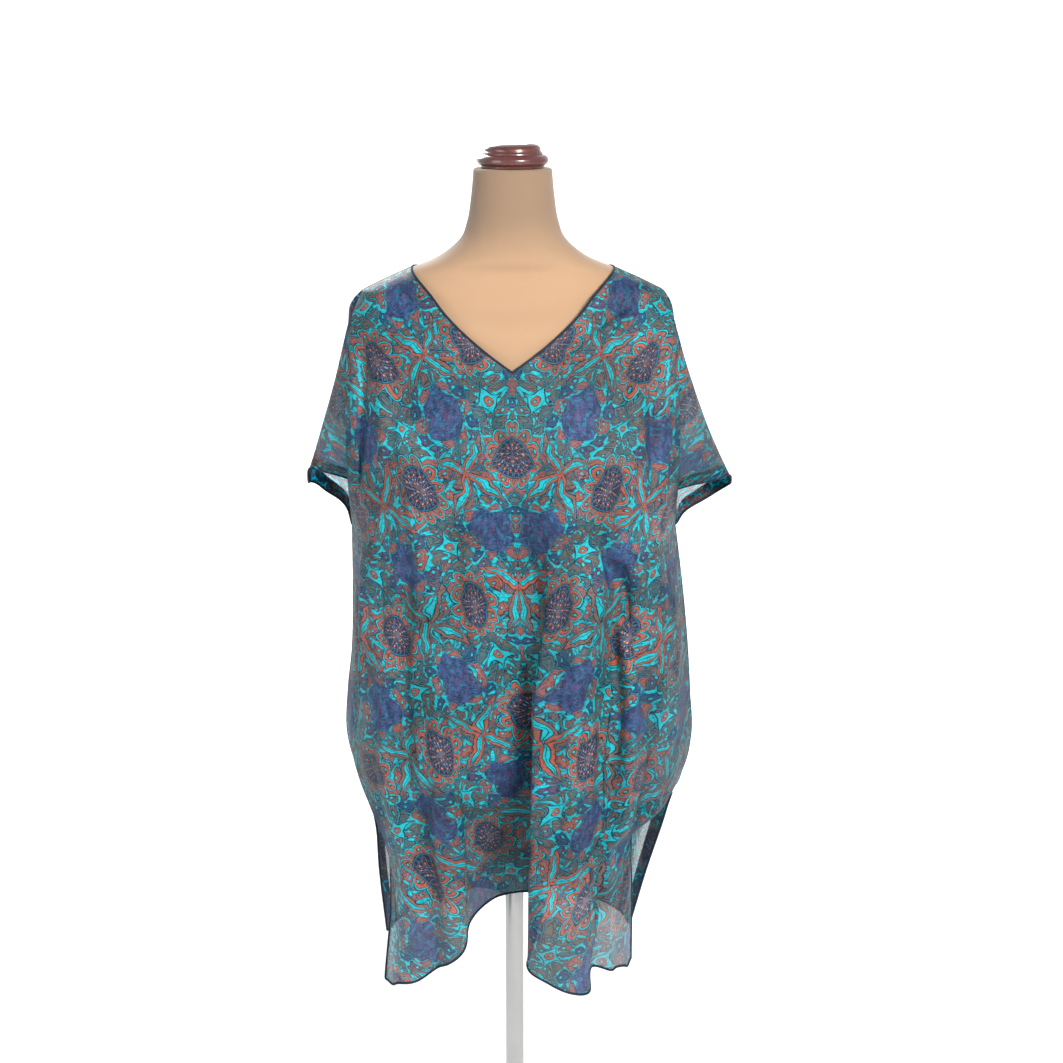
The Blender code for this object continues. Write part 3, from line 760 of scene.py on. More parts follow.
# ---------------------------------------------------------------- materials
class Graph:
    """Short names for the shader nodes that the materials are made from."""

    def __init__(self, name):
        self.material = bpy.data.materials.new(name)
        self.material.use_nodes = True
        self.tree = self.material.node_tree
        self.shader = self.tree.nodes["Principled BSDF"]

    def put(self, socket, value):
        """Links a socket to a node's output, or sets it to a number or colour."""
        if hasattr(value, "is_output"):
            self.tree.links.new(value, socket)
        else:
            socket.default_value = (*value, 1) if socket.type == "RGBA" else value

    def node(self, kind, inputs=(), **settings):
        """A new node with these settings, and values for its inputs by name or number."""
        made = self.tree.nodes.new(kind)
        for key, value in settings.items():
            setattr(made, key, value)
        for key, value in dict(inputs).items():
            self.put(made.inputs[key], value)
        return made

    def set(self, **values):
        for key, value in values.items():
            self.put(self.shader.inputs[key.replace("_", " ")], value)

    def place(self):
        return self.node("ShaderNodeTexCoord").outputs["Object"]

    def stretched(self, scale):
        return self.node("ShaderNodeMapping", {"Vector": self.place(), "Scale": scale}).outputs[0]

    def math(self, operation, a, b=0.0, c=0.0):
        return self.node("ShaderNodeMath", enumerate((a, b, c)), operation=operation).outputs[0]

    def add(self, a, b):
        return self.math("ADD", a, b)

    def sub(self, a, b):
        return self.math("SUBTRACT", a, b)

    def mul(self, a, b):
        return self.math("MULTIPLY", a, b)

    def size(self, a):
        return self.math("ABSOLUTE", a)

    def length(self, a, b):
        return self.math("SQRT", self.math("MULTIPLY_ADD", a, a, self.mul(b, b)))

    def polar(self, radius, angle):
        """The two sides of a place given by its distance and angle."""
        return [self.mul(radius, self.math(side, angle)) for side in ("COSINE", "SINE")]

    def map(self, value, start, end, kind="LINEAR"):
        """A value carried over from one pair of ends to another."""
        ends = {"From Min": start[0], "From Max": start[1], "To Min": end[0], "To Max": end[1]}
        made = self.node("ShaderNodeMapRange", {"Value": value, **ends}, interpolation_type=kind)
        return made.outputs["Result"]

    def inside(self, distance, edge=0.0, blur=0.35):
        """1 where distance is under edge, 0 beyond it."""
        return self.map(distance, (edge - blur, edge + blur), (1, 0), "SMOOTHSTEP")

    def line(self, distance, at, width):
        """1 on a line of this width where distance has the value at."""
        return self.inside(self.size(self.sub(distance, at)), width / 2)

    def mix(self, share, a, b, blend="MIX"):
        made = self.node("ShaderNodeMix", {"Factor": share}, data_type="RGBA", blend_type=blend)
        # A Mix node has sockets of each data type, so the colour ones are picked by type.
        for socket, value in zip([s for s in made.inputs if s.type == "RGBA"], (a, b)):
            self.put(socket, value)
        return [s for s in made.outputs if s.type == "RGBA"][0]

    def blend(self, share, a, b):
        return self.node("ShaderNodeMixShader", enumerate((share, a, b))).outputs[0]

    def times(self, colour, tone):
        return self.mix(1.0, colour, tone, "MULTIPLY")

    def layers(self, colour, distance, rims, blur=0.35):
        """Shapes laid over a colour: each rim is an edge that distance is under, and a tone."""
        for edge, tone in rims:
            colour = self.mix(self.inside(distance, edge, blur), colour, tone)
        return colour

    def noise(self, vector, scale, detail=2.0, rough=0.5, dimensions="3D", output="Fac"):
        inputs = {"Vector": vector, "Scale": scale, "Detail": detail, "Roughness": rough}
        return self.node("ShaderNodeTexNoise", inputs, noise_dimensions=dimensions).outputs[output]

    def combine(self, x, y, z=0.0):
        return self.node("ShaderNodeCombineXYZ", enumerate((x, y, z))).outputs[0]

    def parts(self, vector):
        return self.node("ShaderNodeSeparateXYZ", {0: vector}).outputs

    def channels(self, colour):
        return self.node("ShaderNodeSeparateColor", {0: colour}).outputs

    def bump(self, height, strength, distance):
        inputs = {"Height": height, "Strength": strength, "Distance": distance}
        normal = self.node("ShaderNodeBump", inputs).outputs["Normal"]
        self.set(Normal=normal)
        return normal


class Print(Graph):
    """A graph with the places that the print is drawn by, in the print's own millimetres."""

    def __init__(self, name):
        super().__init__(name)
        flat = self.parts(self.node("ShaderNodeUVMap", uv_map="cut").outputs["UV"])
        self.x, self.y = (self.mul(flat[i], 1000 / SHRINK) for i in (0, 1))
        # The print is mirrored about the panel's middle, and noise moves its motifs.
        mirrored = self.size(self.x)
        warp = self.channels(self.noise(self.combine(mirrored, self.y), 0.017, output="Color"))
        self.wx = self.add(mirrored, self.mul(self.sub(warp[0], 0.5), WARP))
        self.wy = self.add(self.y, self.mul(self.sub(warp[1], 0.5), WARP))
        cos, sin = math.cos(TILT), math.sin(TILT)
        tilted_x = self.add(self.mul(self.wx, cos), self.mul(self.wy, sin))
        tilted_y = self.sub(self.mul(self.wy, cos), self.mul(self.wx, sin))
        # Places in half a repeat: rosettes lie at its near corner, patches at its far one.
        self.fx = self.math("PINGPONG", tilted_x, TILE[0])
        self.fy = self.math("PINGPONG", tilted_y, TILE[1])
        self.far_x, self.far_y = self.sub(TILE[0], self.fx), self.sub(TILE[1], self.fy)
        self.drift = self.noise(self.combine(self.wx, self.wy, 7.0), 0.012, 1.0)
        place = self.combine(self.wx, self.wy)
        self.bits = self.channels(self.noise(place, 0.085, 1.0, output="Color"))

    def shaken(self, i, reach):
        """A part of the fine noise, as a distance either way."""
        return self.mul(self.sub(self.bits[i], 0.5), reach)


def field(g):
    """Cells of earth colours between turquoise veins of uneven width."""
    spot = g.combine(*(g.add(f, g.mul(g.bits[i], 8.0)) for i, f in enumerate((g.fx, g.fy))))
    inputs = {"Vector": spot, "Scale": CELL_SCALE, "Randomness": 0.95}
    cells, tints = (
        g.node("ShaderNodeTexVoronoi", inputs, voronoi_dimensions="2D", feature=feature).outputs
        for feature in ("DISTANCE_TO_EDGE", "F1")
    )
    edge, heart = (g.mul(outputs["Distance"], 1 / CELL_SCALE) for outputs in (cells, tints))
    draw = g.channels(tints["Color"])
    ramp = g.node("ShaderNodeValToRGB", {0: draw[0]})
    ramp.color_ramp.interpolation = "CONSTANT"
    stops = ramp.color_ramp.elements
    stops.remove(stops[1])
    for at, tone in CELL_TONES:
        stop = stops.new(at) if at else stops[0]
        stop.color = (*tone, 1)
    mottle = g.noise(g.combine(g.wx, g.wy), 0.030, 2.0, 0.6, "2D")
    ground = g.mix(g.inside(mottle, 0.50, 0.09), BROWN, (0.010, 0.110, 0.165))
    tint = g.mix(0.62, ground, ramp.outputs[0])
    vein = g.add(0.50, g.mul(g.sub(1.0, g.inside(g.bits[2], 0.55, 0.10)), 1.7))
    vein_tone = g.mix(g.inside(g.drift, 0.52, 0.10), (0.004, 0.230, 0.290), TEAL)
    vein_tone = g.mix(g.inside(vein, 1.3, 0.5), TURQUOISE, vein_tone)
    past = g.sub(edge, vein)
    dotted = g.inside(draw[1], 0.40, 0.02)
    colour = g.mix(g.mul(g.line(past, 2.9, 0.6), 0.60), tint, INK)
    colour = g.mix(g.mul(g.inside(heart, 1.7, 0.4), dotted), colour, TURQUOISE)
    colour = g.mix(g.mul(g.line(heart, 2.2, 0.6), dotted), colour, INK)
    colour = g.mix(g.mul(g.inside(past, 1.0), 0.85), colour, INK)
    colour = g.mix(g.inside(past, 0.1), colour, vein_tone)
    # Thin wandering outlines cross the cells.
    level = g.noise(g.combine(g.fx, g.fy, 3.0), 0.030, 1.0)
    contour = g.math("PINGPONG", g.mul(level, 34.0), 1.0)
    return g.mix(g.mul(g.inside(contour, 0.10, 0.05), 0.6), colour, INK)


def leaves(g, colour):
    """Four long leaves that cross where two half repeats meet."""
    along = g.add(g.mul(g.far_x, 0.60), g.mul(g.fy, 0.80))
    aside = g.size(g.sub(g.mul(g.far_x, 0.80), g.mul(g.fy, 0.60)))
    bow = g.mul(g.mul(along, g.sub(LEAF_LENGTH, along)), 0.0058)
    leaf = g.add(g.sub(aside, bow), g.shaken(2, 5.0))
    rim = g.mix(g.inside(g.drift, 0.48, 0.05), BROWN, RUST)
    colour = g.layers(colour, leaf, ((3.8, INK), (3.0, rim), (0.2, INK), (-0.6, TURQUOISE)))
    return g.mix(g.mul(g.inside(aside, 0.3), g.inside(leaf, -1.0)), colour, INK)


def patches(g, colour):
    """Smoky dark blue patches, their rims soft and uneven."""
    ax = g.add(g.far_x, g.shaken(0, 8.0))
    ay = g.add(g.mul(g.far_y, 0.66), g.shaken(1, 8.0))
    turn = g.math("COSINE", g.mul(g.math("ARCTAN2", ay, ax), 6.0))
    patch = g.add(g.length(ax, ay), g.mul(turn, 2.0))
    smoky = g.noise(g.combine(g.mul(g.x, 2.2), g.y), 0.06, 3.0, 0.65, "2D")
    smoke = g.mix(g.inside(smoky, 0.5, 0.16), (0.036, 0.066, 0.180), (0.014, 0.026, 0.088))
    colour = g.mix(g.mul(g.inside(patch, 23.0, 4.0), 0.84), colour, smoke)
    colour = g.mix(g.mul(g.line(patch, 14.0, 0.8), 0.45), colour, INK)
    return g.mix(g.mul(g.line(patch, 21.5, 0.9), 0.50), colour, INK)


def stars(g, colour):
    """Small four-pointed stars between the rosettes, one above another."""
    away = g.size(g.far_y)
    star = g.add(g.math("POWER", g.fx, 0.62), g.math("POWER", away, 0.62))
    colour = g.layers(colour, star, ((7.1, INK), (6.5, TURQUOISE)), 0.25)
    rims = ((6.4, INK), (5.6, RUST), (2.6, INK), (1.8, TURQUOISE))
    return g.layers(colour, g.length(g.fx, away), rims)


def rosettes(g, colour):
    """A dark oval eye full of dots and fine lines, in a ring of ten petals with eyes of ink."""
    oval_y = g.mul(g.fy, 0.71)
    radius, angle = g.length(g.fx, oval_y), g.math("ARCTAN2", oval_y, g.fx)
    px, py = g.polar(radius, g.math("PINGPONG", angle, math.pi / 10))
    lobe = g.length(g.sub(px, 25.0), g.mul(py, 1.30))
    rim = g.math("MINIMUM", lobe, g.sub(radius, 14.5))
    tone = g.mix(g.inside(g.drift, 0.60, 0.06), (0.200, 0.075, 0.058), RUST)
    colour = g.layers(colour, rim, ((11.4, INK), (10.6, TURQUOISE), (9.4, INK), (8.7, tone)))
    colour = g.layers(colour, lobe, ((5.2, INK), (4.5, BROWN)))
    colour = g.layers(colour, g.length(g.sub(px, 28.4), py), ((2.2, INK), (1.4, TURQUOISE)))
    colour = g.layers(colour, radius, ((22.4, INK), (21.6, TEAL), (20.6, (0.022, 0.022, 0.048))))
    across_spoke = g.polar(radius, g.math("PINGPONG", angle, math.pi / 22))[1]
    scratch = g.mul(g.inside(across_spoke, 0.35, 0.25), g.inside(radius, 20.2))
    colour = g.mix(g.mul(scratch, 0.75), colour, (0.120, 0.120, 0.160))
    for ring, count, size, tone in EYE_DOTS:
        dx, dy = g.polar(radius, g.math("PINGPONG", angle, math.pi / count))
        colour = g.mix(g.inside(g.length(g.sub(dx, ring), dy), size, 0.3), colour, tone)
        colour = g.mix(g.mul(g.line(radius, ring - 1.6, 0.5), 0.6), colour, (0.14, 0.14, 0.19))
    return colour


def uneven_ink(g, colour):
    """Short fine scratches of darker ink, and ink that took unevenly in the weave."""
    scribble = g.noise(g.combine(g.mul(g.wx, 0.5), g.wy), 0.42, 1.0, 0.7, "2D")
    colour = g.mix(g.mul(g.inside(scribble, 0.42, 0.05), 0.42), colour, INK)
    patchy = g.noise(g.combine(g.x, g.y), 0.012, 2.0, 0.55, "2D")
    shade = g.map(patchy, (0.3, 0.7), (0.72, 1.25))
    grey = g.node("ShaderNodeCombineColor", enumerate((shade, shade, shade)))
    return g.times(colour, grey.outputs[0])


def cloth_material(name, open_share, dim=1.0):
    """Sheer printed chiffon: threads that pass coloured light, with open gaps between them."""
    g = Print(name)
    colour = field(g)
    for draw in (leaves, patches, stars, rosettes, uneven_ink):
        colour = draw(g, colour)
    # dim darkens the print evenly; for the turned-in bands at the front slits this is painted
    # shade.
    if dim != 1.0:
        colour = g.times(colour, (dim, dim, dim))
    warp = g.math("SINE", g.mul(g.x, 2 * math.pi / WARP_PITCH))
    weft = g.math("SINE", g.mul(g.y, 2 * math.pi / WEFT_PITCH))
    slub = g.noise(g.combine(g.mul(g.x, 0.5), g.mul(g.y, 4.0)), 0.35, 1.0, 0.5, "2D")
    g.set(Base_Color=colour, Roughness=0.42, Specular_IOR_Level=0.15)
    normal = g.bump(g.add(g.mul(g.mul(warp, weft), 0.5), slub), 0.35, 0.00025)
    # The sleeves hang clear of the form in a single layer, so more light comes through them.
    beside = g.inside(g.size(g.mul(g.x, SHRINK)), 238.0, 14.0)
    above = g.inside(g.mul(g.y, SHRINK), -165.0, 20.0)
    sleeve = g.mul(g.sub(1.0, beside), g.sub(1.0, above))
    inputs = {"Color": g.times(colour, (1.3, 2.5, 2.7)), "Normal": normal}
    through = g.node("ShaderNodeBsdfTranslucent", inputs).outputs[0]
    threads = g.blend(g.add(0.14, g.mul(sleeve, 0.36)), g.shader.outputs[0], through)
    # The open share varies a little with the weave's slubs.
    share = g.add(g.mul(slub, open_share), open_share * 0.5)
    share = g.mul(share, g.add(1.0, g.mul(sleeve, 2.2)))
    whole = g.blend(share, threads, g.node("ShaderNodeBsdfTransparent").outputs[0])
    g.put(g.tree.nodes["Material Output"].inputs["Surface"], whole)
    return g.material


def edge_material():
    """The rolled edges: many turns of cloth under dense overlock thread."""
    g = Graph("rolled_edge_thread")
    place = g.place()
    twist = g.noise(place, 900.0, 2.0, 0.6)
    colour = g.mix(g.noise(place, 60.0), (0.006, 0.009, 0.016), (0.014, 0.024, 0.046))
    g.set(Base_Color=colour, Roughness=0.70, Specular_IOR_Level=0.20)
    g.bump(twist, 0.5, 0.0003)
    return g.material


def jersey_material():
    """The form's cover: a matt knitted jersey, slightly uneven in tone."""
    g = Graph("cream_jersey_cover")
    place = g.place()
    fleck = g.noise(place, 420.0, 2.0, 0.6)
    colour = g.mix(g.noise(place, 5.0, 3.0, 0.55), (0.330, 0.203, 0.116), (0.380, 0.242, 0.144))
    colour = g.mix(g.mul(fleck, 0.22), colour, (0.280, 0.172, 0.102))
    x, y, z = g.parts(place)
    # Painted shade: the bare neck above the covered chest is darkened and greyed in its colour.
    painted_neck_shade = g.times(colour, (0.60, 0.63, 0.68))
    colour = g.mix(g.inside(z, 1.395, 0.045), painted_neck_shade, colour)
    rows = g.math("SINE", g.mul(z, 2 * math.pi / KNIT_ROW))
    wales = g.math("SINE", g.mul(g.math("ARCTAN2", y, x), KNIT_WALES))
    g.set(Base_Color=colour, Roughness=0.82, Specular_IOR_Level=0.25)
    g.set(Sheen_Weight=0.25, Sheen_Roughness=0.5)
    g.bump(g.add(g.mul(g.mul(rows, wales), 0.5), fleck), 0.30, 0.00025)
    return g.material


def wood_material(name, scale):
    """Stained mahogany under lacquer: long dark pores and a slow change of tone."""
    g = Graph(name)
    stretched = g.stretched(scale)
    grain = g.noise(stretched, 30.0, 6.0, 0.62)
    pores = g.noise(stretched, 190.0, 2.0, 0.7)
    colour = g.mix(grain, (0.022, 0.005, 0.006), (0.115, 0.024, 0.019))
    colour = g.mix(g.mul(g.noise(g.place(), 14.0), 0.4), colour, (0.085, 0.018, 0.014))
    colour = g.mix(g.inside(pores, 0.38, 0.05), colour, (0.020, 0.006, 0.004))
    g.set(Base_Color=colour, Roughness=g.add(0.26, g.mul(grain, 0.16)))
    g.set(Coat_Weight=0.7, Coat_Roughness=0.08)
    g.bump(g.add(grain, pores), 0.12, 0.0006)
    return g.material


def steel_material():
    """Brushed steel: fine lines round the pole, a few darker handling marks."""
    g = Graph("brushed_steel_satin")
    lines = g.noise(g.stretched((6.0, 6.0, 900.0)), 3.0, 3.0, 0.6)
    marks = g.noise(g.place(), 12.0, 3.0, 0.6)
    colour = g.mix(marks, (0.34, 0.34, 0.34), (0.46, 0.46, 0.455))
    g.set(Base_Color=colour, Roughness=g.add(0.24, g.mul(lines, 0.20)), Metallic=1.0)
    g.bump(lines, 0.10, 0.0002)
    return g.material


# ---------------------------------------------------------------- the form and its stand
def show(piece, node=None):
    """Puts a piece on the one body, in place of the solid that it stands for."""
    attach(piece, "root")
    if node:
        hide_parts(node)


def form_ring(height, scale=1.0, at=None):
    """The form's section at a height, drawn in by scale and set at another height."""
    angle = circle(FORM_SIDES)
    cos, sin = np.cos(angle), np.sin(angle)
    depth = np.where(sin < 0, curve(FORM, 2, height), curve(FORM, 3, height))
    x = curve(FORM, 1, height) * np.sign(cos) * np.abs(cos) ** (2 / FORM_POWER)
    y = depth * np.sign(sin) * np.abs(sin) ** (2 / FORM_POWER)
    across = (np.abs(x) - BUST_CENTRE[0]) / BUST_SIZE[0]
    up = (height - BUST_CENTRE[1]) / BUST_SIZE[1]
    cup = BUST_OUT * np.exp(-across * across - up * up) * np.clip(-y / BUST_FADE, 0, 1)
    level = np.full(FORM_SIDES, height if at is None else at)
    return np.stack([x * scale, (y - cup) * scale, level], axis=-1)


def build_form(material):
    heights = []
    for top, foot, rows in FORM_ROWS:
        heights += list(np.linspace(top, foot, rows + 1)[:-1])
    heights.append(foot)
    rings = [form_ring(heights[0], 0.965, NECK_TOP)]
    rings += [form_ring(height) for height in heights]
    rings.append(form_ring(heights[-1], 0.985, FORM_BOTTOM))
    points = np.concatenate(rings + [[[0, 0, NECK_TOP]], [[0, 0.006, FORM_BOTTOM]]])
    count = len(rings) * FORM_SIDES
    faces = ring_faces(len(rings), FORM_SIDES) + fan_faces(count, 0, FORM_SIDES)
    faces += flipped(fan_faces(count + 1, count - FORM_SIDES, FORM_SIDES))
    return new_mesh("dress_form", points, faces, material)


def build_stand():
    collar_foot = FORM_BOTTOM - GAP - COLLAR_HEIGHT
    pole_foot = BASE_HEIGHT + GAP
    length = collar_foot - GAP - pole_foot
    pole_profile = [(0.0, length), (POLE_RADIUS, length), (POLE_RADIUS, length / 2)]
    pole_profile += [(POLE_RADIUS, 0.0), (0.0, 0.0)]
    cap_wood = wood_material("mahogany_cap_lacquer", (1.0, 0.25, 1.0))
    base_wood = wood_material("mahogany_base_lacquer", (0.25, 1.0, 1.0))
    steel = steel_material()
    cap = turned("turned_cap", CAP_PROFILE, NECK_TOP + GAP, cap_wood, 96, 0.0012)
    collar = turned("pole_collar", COLLAR_PROFILE, collar_foot, steel, 64, 0.0010)
    pole = turned("pole", pole_profile, pole_foot, steel, 48, 0.0004)
    base = turned("round_base", BASE_PROFILE, 0.0, base_wood, 128, 0.0024)
    show(cap, "neck_cap")
    show(collar, "stand_collar")
    show(pole, "stand_pole")
    show(base, "stand_base")


# ---------------------------------------------------------------- the kaftan
def clear_of(points, tree):
    """Points nearer to the form than the cloth's distance, or inside it, moved out to that."""
    moved = points.reshape(-1, 3).copy()
    for i, point in enumerate(moved):
        near, normal, _, _ = tree.find_nearest(Vector(point), 0.03)
        if near is not None and (Vector(point) - near).dot(normal) < CLOTH_OFF_FORM:
            moved[i] = near + normal * CLOTH_OFF_FORM
    return moved.reshape(points.shape)


def drape_body(panel, cut, tree):
    """The panel's cloth between armholes and side seams, as a grid with its flat places."""
    across = np.linspace(-1, 1, GRID["columns"] + 1)
    heights = panel.heights(across)
    wide = np.repeat(across[:, None], heights.shape[1], axis=1)
    base = panel.body(wide, heights)
    u, v = cut.flat(wide, heights)
    near_bust = BUST_EVEN * np.exp(-(((heights[:, 1:-1] - BUST) / BUST_REACH) ** 2))[..., None]
    for _ in range(BUST_ROUNDS):
        bend = base[:, :-2, :2] + base[:, 2:, :2] - 2 * base[:, 1:-1, :2]
        base[:, 1:-1, :2] += near_bust * bend
    lean(panel, base, wide, heights)
    # Creases and ripples die away towards the side seams and the top edge.
    held = 1 - smooth(0.90, 1.0, np.abs(wide))
    held *= smooth(0.004, 0.060, panel.top(across)[:, None] - heights)
    tight, free, phase = LOOSE[panel.name]
    loose = smooth(tight, free, heights)
    offset = crease_offset(panel, cut, wide, heights)
    offset += RIPPLE * ripple(u, v, phase) * (0.35 + 0.65 * loose)
    body = base + outward_normals(base, panel.sign) * (offset * held)[..., None]
    # The neck's corners settle on the form's shoulders.
    aside = (np.abs(body[..., 0]) - NECK_POINT[0]) / NECK_SETTLE[0]
    above = (body[..., 2] - NECK_POINT[1]) / NECK_SETTLE[0]
    body[..., 2] -= NECK_SETTLE[1] * np.exp(-(aside**2) - above**2)
    body = clear_of(body, tree)
    return SimpleNamespace(panel=panel, body=body, heights=heights, u=u, v=v)


def drape_sleeve(half, hand, tree):
    """One panel's half of a sleeve: strips from the armhole to the sleeve's upper edge."""
    panel = half.panel
    rows = slice(0, GRID["chest"] + GRID["arm"] + 1)
    column = 0 if hand < 0 else -1
    heights = half.heights[column, rows]
    share = np.linspace(0, 1, GRID["sleeve"] + 1)
    patch = panel.sleeve(hand, heights, share)
    patch[:, 0] = half.body[column, rows]
    along = np.linspace(0, 1, len(heights))[:, None]
    wave = np.sin(share[None, :] * 19.0 + along * 2.2 + hand) * RIPPLE
    patch[..., 1] += panel.sign * np.sin(math.pi * share)[None, :] * along * wave
    points = np.transpose(clear_of(patch, tree), (1, 0, 2))
    root_v = half.v[column, rows]
    u = half.u[column, rows][None, :] + hand * arc_length(points, 0)
    v = arc_length(points, 1) + root_v[0]
    v = v + (root_v - v[0])[None, :] * (1 - share)[:, None]
    return SimpleNamespace(points=points, u=u, v=v)


def build_panel(name, tree, material):
    """One panel with its sleeve halves in one mesh, and the grids that its hems and seams need."""
    panel = Panel(name)
    half = drape_body(panel, Cut(panel), tree)
    columns, rows = half.heights.shape
    points = [half.body.reshape(-1, 3)]
    cuts = [np.stack([half.u, half.v], axis=-1).reshape(-1, 2)]
    faces = list(grid_faces(columns, rows, 0, name != "front"))
    half.sleeves = {}
    for hand in (-1, 1):
        sleeve = half.sleeves[hand] = drape_sleeve(half, hand, tree)
        strips, length = sleeve.points.shape[:2]
        # The sleeve shares the body's points at the armhole, and one at the shoulder tip.
        first = (0 if hand < 0 else columns - 1) * rows
        index = np.zeros((strips, length), dtype=int)
        index[0] = first + np.arange(length)
        index[:, 0] = first
        new = np.arange((strips - 1) * (length - 1)).reshape(strips - 1, length - 1)
        index[1:, 1:] = sum(len(block) for block in points) + new
        points.append(sleeve.points[1:, 1:].reshape(-1, 3))
        cuts.append(np.stack([sleeve.u, sleeve.v], axis=-1)[1:, 1:].reshape(-1, 2))
        for s in range(strips - 1):
            for r in range(length - 1):
                quad = (index[s, r], index[s, r + 1], index[s + 1, r + 1], index[s + 1, r])
                quad = quad[::-1] if (hand < 0) == (name == "front") else quad
                faces.append(tuple(dict.fromkeys(quad)))
    half.object = new_mesh(
        "kaftan_" + name + "_cloth", np.concatenate(points), faces, material, np.concatenate(cuts)
    )
    return half


def neck_path(half):
    """The neck edge of a panel, from its left shoulder to its right one."""
    top = half.body[:, 0]
    return top[np.abs(top[:, 0]) <= NECK_POINT[0] + EDGE_SLACK]


def skirt_path(half):
    """A panel's free edge: down the left slit, along the hem and up the right slit."""
    left = half.body[0][half.heights[0] <= SLIT + EDGE_SLACK]
    right = half.body[-1][half.heights[-1] <= SLIT + EDGE_SLACK]
    return np.concatenate([left, half.body[1:-1, -1], right[::-1]])


def neck_edge(front, back, material):
    """The rolled edge round the neck, from both panels."""
    neck = np.concatenate([neck_path(front), neck_path(back)[::-1]])
    neck = resample(np.concatenate([neck, neck[:1]]), EDGE_STEP)[:-1]
    corner = np.exp(-(((np.abs(neck[:, 0]) - NECK_POINT[0]) / CORNER_REACH) ** 2))[:, None]
    for _ in range(CORNER_ROUNDS):
        even = (np.roll(neck, 1, axis=0) + 2 * neck + np.roll(neck, -1, axis=0)) / 4
        neck = neck + corner * (even - neck)
    return tube("neck_rolled_edge", neck, EDGE_RADIUS, material, closed=True)


def cuff_band(name, halves, hand, material, out):
    """One layer of the turned hem at a sleeve's end, from both halves, moved out or in."""
    points, faces, cuts = [], [], []
    for half in halves:
        sleeve, panel = half.sleeves[hand], half.panel
        columns = len(sleeve.points)
        block = np.zeros((columns, CUFF_ROWS, 5))
        for c, line in enumerate(np.dstack([sleeve.points, sleeve.u, sleeve.v])):
            along = arc_length(line[:, :3], 0)
            at = along[-1] - CUFF_DEPTH * np.linspace(1, 0, CUFF_ROWS)
            for i in range(5):
                block[c, :, i] = np.interp(at, along, line[:, i])
        rise = np.sin(math.pi * np.linspace(0, 1, columns)).clip(0) ** 0.3
        block[..., 1] += panel.sign * out * rise[:, None]
        start = len(points) * columns * CUFF_ROWS
        faces += list(grid_faces(columns, CUFF_ROWS, start, (hand < 0) == (panel.name == "front")))
        points.append(block[..., :3].reshape(-1, 3))
        cuts.append(block[..., 3:].reshape(-1, 2))
    return new_mesh(name, np.concatenate(points), faces, material, np.concatenate(cuts))


def slit_band(name, half, hand, low, high, material):
    """The turned-back strip along one slit edge of a panel, between two heights."""
    pick = slice(0, SLIT_COLUMNS) if hand < 0 else slice(-SLIT_COLUMNS, None)
    edge_heights = half.heights[0 if hand < 0 else -1]
    rows = np.where((edge_heights <= high) & (edge_heights >= low))[0]
    block = half.body[pick][:, rows]
    back = half.panel.name == "back"
    block = block + outward_normals(block, half.panel.sign) * (-SLIT_LAYER if back else SLIT_LAYER)
    cuts = np.stack([half.u[pick][:, rows], half.v[pick][:, rows]], axis=-1)
    faces = grid_faces(SLIT_COLUMNS, len(rows), 0, back)
    return new_mesh(name, block.reshape(-1, 3), faces, material, cuts.reshape(-1, 2))


def arm_trims(front, back, hand, hem, edge):
    """The rolled edge, turned hem and seams of one sleeve and side."""
    side = "left" if hand < 0 else "right"
    first, second = (half.sleeves[hand].points[:, -1] for half in (front, back))
    loop = resample(np.concatenate([first, second[::-1]]), EDGE_STEP)[:-1]
    yield tube(side + "_cuff_rolled_edge", loop, EDGE_RADIUS, edge, closed=True)
    for place, out in (("outer", CUFF_LAYER), ("inner", -CUFF_LAYER)):
        yield cuff_band(side + "_cuff_hem_" + place, (front, back), hand, hem, out)
    shoulder = front.body[:, 0]
    shoulder = shoulder[shoulder[:, 0] * hand >= NECK_POINT[0] - 0.001][::hand]
    line = np.concatenate([shoulder[:-1], front.sleeves[hand].points[-1]])
    yield tube(side + "_shoulder_seam", resample(line, SEAM_STEP), SEAM_RADIUS, edge, sides=6)
    column = 0 if hand < 0 else -1
    heights = front.heights[column]
    line = front.body[column][(heights <= UNDERARM + 0.001) & (heights >= SLIT)]
    yield tube(side + "_side_seam", resample(line, SEAM_STEP), SEAM_RADIUS, edge, sides=6)


def build_kaftan(form):
    """Both panels and all trims. Gives each panel's object and the trims that go with it."""
    tree = BVHTree.FromObject(form, bpy.context.evaluated_depsgraph_get())
    single = cloth_material("printed_chiffon_single", 0.044)
    behind = cloth_material("printed_chiffon_behind", 0.065)
    hem = cloth_material("printed_chiffon_hem", 0.020, 0.95)
    edge = edge_material()
    front = build_panel("front", tree, single)
    back = build_panel("back", tree, behind)
    show(front.object, "kaftan_front")
    show(back.object, "kaftan_back")
    trims = [neck_edge(front, back, edge)]
    for half in (front, back):
        path = resample(skirt_path(half), EDGE_STEP)
        trims.append(tube(half.panel.name + "_hem_rolled_edge", path, EDGE_RADIUS, edge))
    for hand in (-1, 1):
        trims += arm_trims(front, back, hand, hem, edge)
    # Painted shade: the turned-in bands at the front slits have their print darkened to 0.30.
    turned_in_painted_shade = cloth_material("printed_chiffon_turned", 0.006, 0.30)
    turned_back = cloth_material("printed_chiffon_turned_back", 0.010, 0.75)
    trims += [
        slit_band("right_slit_turned_band", front, 1, 0.585, 0.664, turned_in_painted_shade),
        slit_band("left_slit_turned_band", front, -1, 0.585, 0.660, turned_in_painted_shade),
        slit_band("back_left_slit_hem", back, -1, 0.424, 0.640, turned_back),
        slit_band("back_right_slit_hem", back, 1, 0.436, 0.640, turned_back),
    ]
    for trim in trims:
        show(trim)
    behind_trims = [trim for trim in trims if trim.name.startswith("back")]
    return (
        (front.object, [trim for trim in trims if trim not in behind_trims]),
        (back.object, behind_trims),
    )


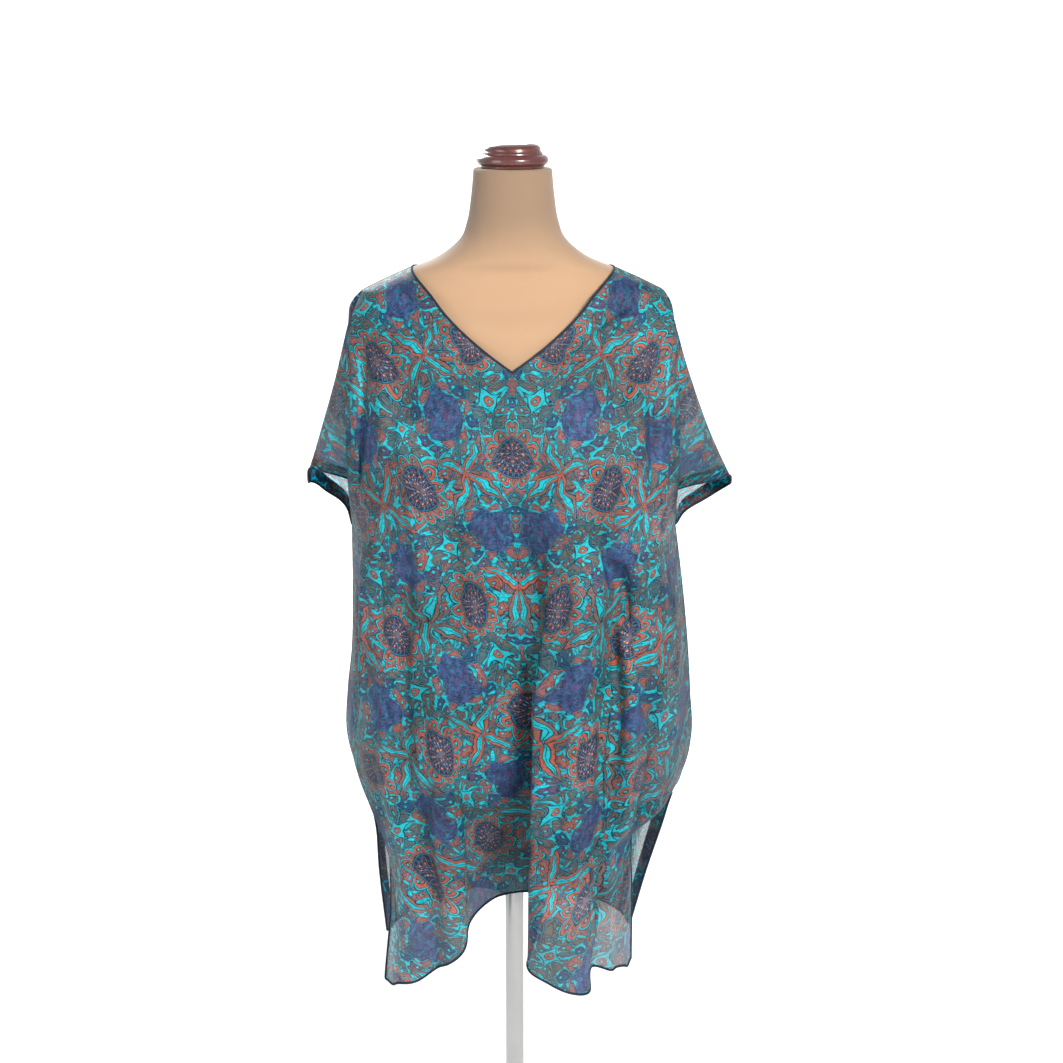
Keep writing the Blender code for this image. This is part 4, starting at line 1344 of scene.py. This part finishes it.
# ---------------------------------------------------------------- the room, the lights, the camera
def build_room():
    """A pale floor that curves up into a wall all round, and soft daylight."""
    g = Graph("pale_floor")
    tone = g.noise(g.place(), 1.5, 3.0)
    g.set(Base_Color=g.mix(tone, (0.82, 0.82, 0.82), (0.86, 0.86, 0.855)), Roughness=0.8)
    outline = [(0.0, 0.0), (FLOOR_RADIUS / 2, 0.0), (FLOOR_RADIUS, 0.0)]
    for t in np.linspace(0.1, math.pi / 2, 14):
        outline.append((FLOOR_RADIUS + WALL_CURVE * math.sin(t), WALL_CURVE * (1 - math.cos(t))))
    outline.append((FLOOR_RADIUS + WALL_CURVE, WALL_TOP))
    lathe("floor", outline, g.material, 96)
    world = bpy.data.worlds.new("soft_daylight")
    bpy.context.scene.world = world
    world.use_nodes = True
    background = world.node_tree.nodes["Background"]
    background.inputs["Color"].default_value = (0.96, 0.98, 1.0, 1)
    background.inputs["Strength"].default_value = 0.50


def area_light(name, place, target, size, power, colour, spread=180):
    light = bpy.data.lights.new(name, "AREA")
    light.spread = math.radians(spread)
    light.shape = "RECTANGLE"
    light.size, light.size_y = size
    light.energy = power
    light.color = colour
    made = link(name, light)
    made.location = place
    made.rotation_euler = (Vector(target) - Vector(place)).to_track_quat("-Z", "Y").to_euler()


def build_camera():
    camera = bpy.data.cameras.new("camera")
    camera.angle = 2 * math.atan(PHOTO_SIDE / 2 / FOCAL_PIXELS)
    made = link("camera", camera)
    made.location = CAMERA_PLACE
    made.rotation_euler = (math.radians(90 - CAMERA_DOWN), 0, 0)
    bpy.context.scene.camera = made


def main():
    form = build_form(jersey_material())
    show(form, "form_torso")
    build_stand()
    for cloth, trims in build_kaftan(form):
        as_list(trims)
    build_room()
    area_light("key", (1.5, -2.8, 2.7), (0, 0, 1.0), (1.0, 1.0), 200, (1.0, 0.985, 0.96))
    area_light("fill", (-2.4, -1.9, 1.7), (0, 0, 0.9), (1.6, 1.6), 30, (0.95, 0.98, 1.0))
    area_light("rim", (-0.8, 2.6, 2.6), (0, 0, 1.0), (2.0, 1.2), 80, (1.0, 1.0, 1.0))
    area_light("backdrop", (0, 4.4, 5.9), (0, 5.4, 0), (6.0, 2.5), 190, (0.97, 0.99, 1.0), 90)
    build_camera()
    # The plain transform keeps the print's colours full. Four lamps need no light tree.
    bpy.context.scene.view_settings.view_transform = "Standard"
    bpy.context.scene.cycles.use_light_tree = False


main()
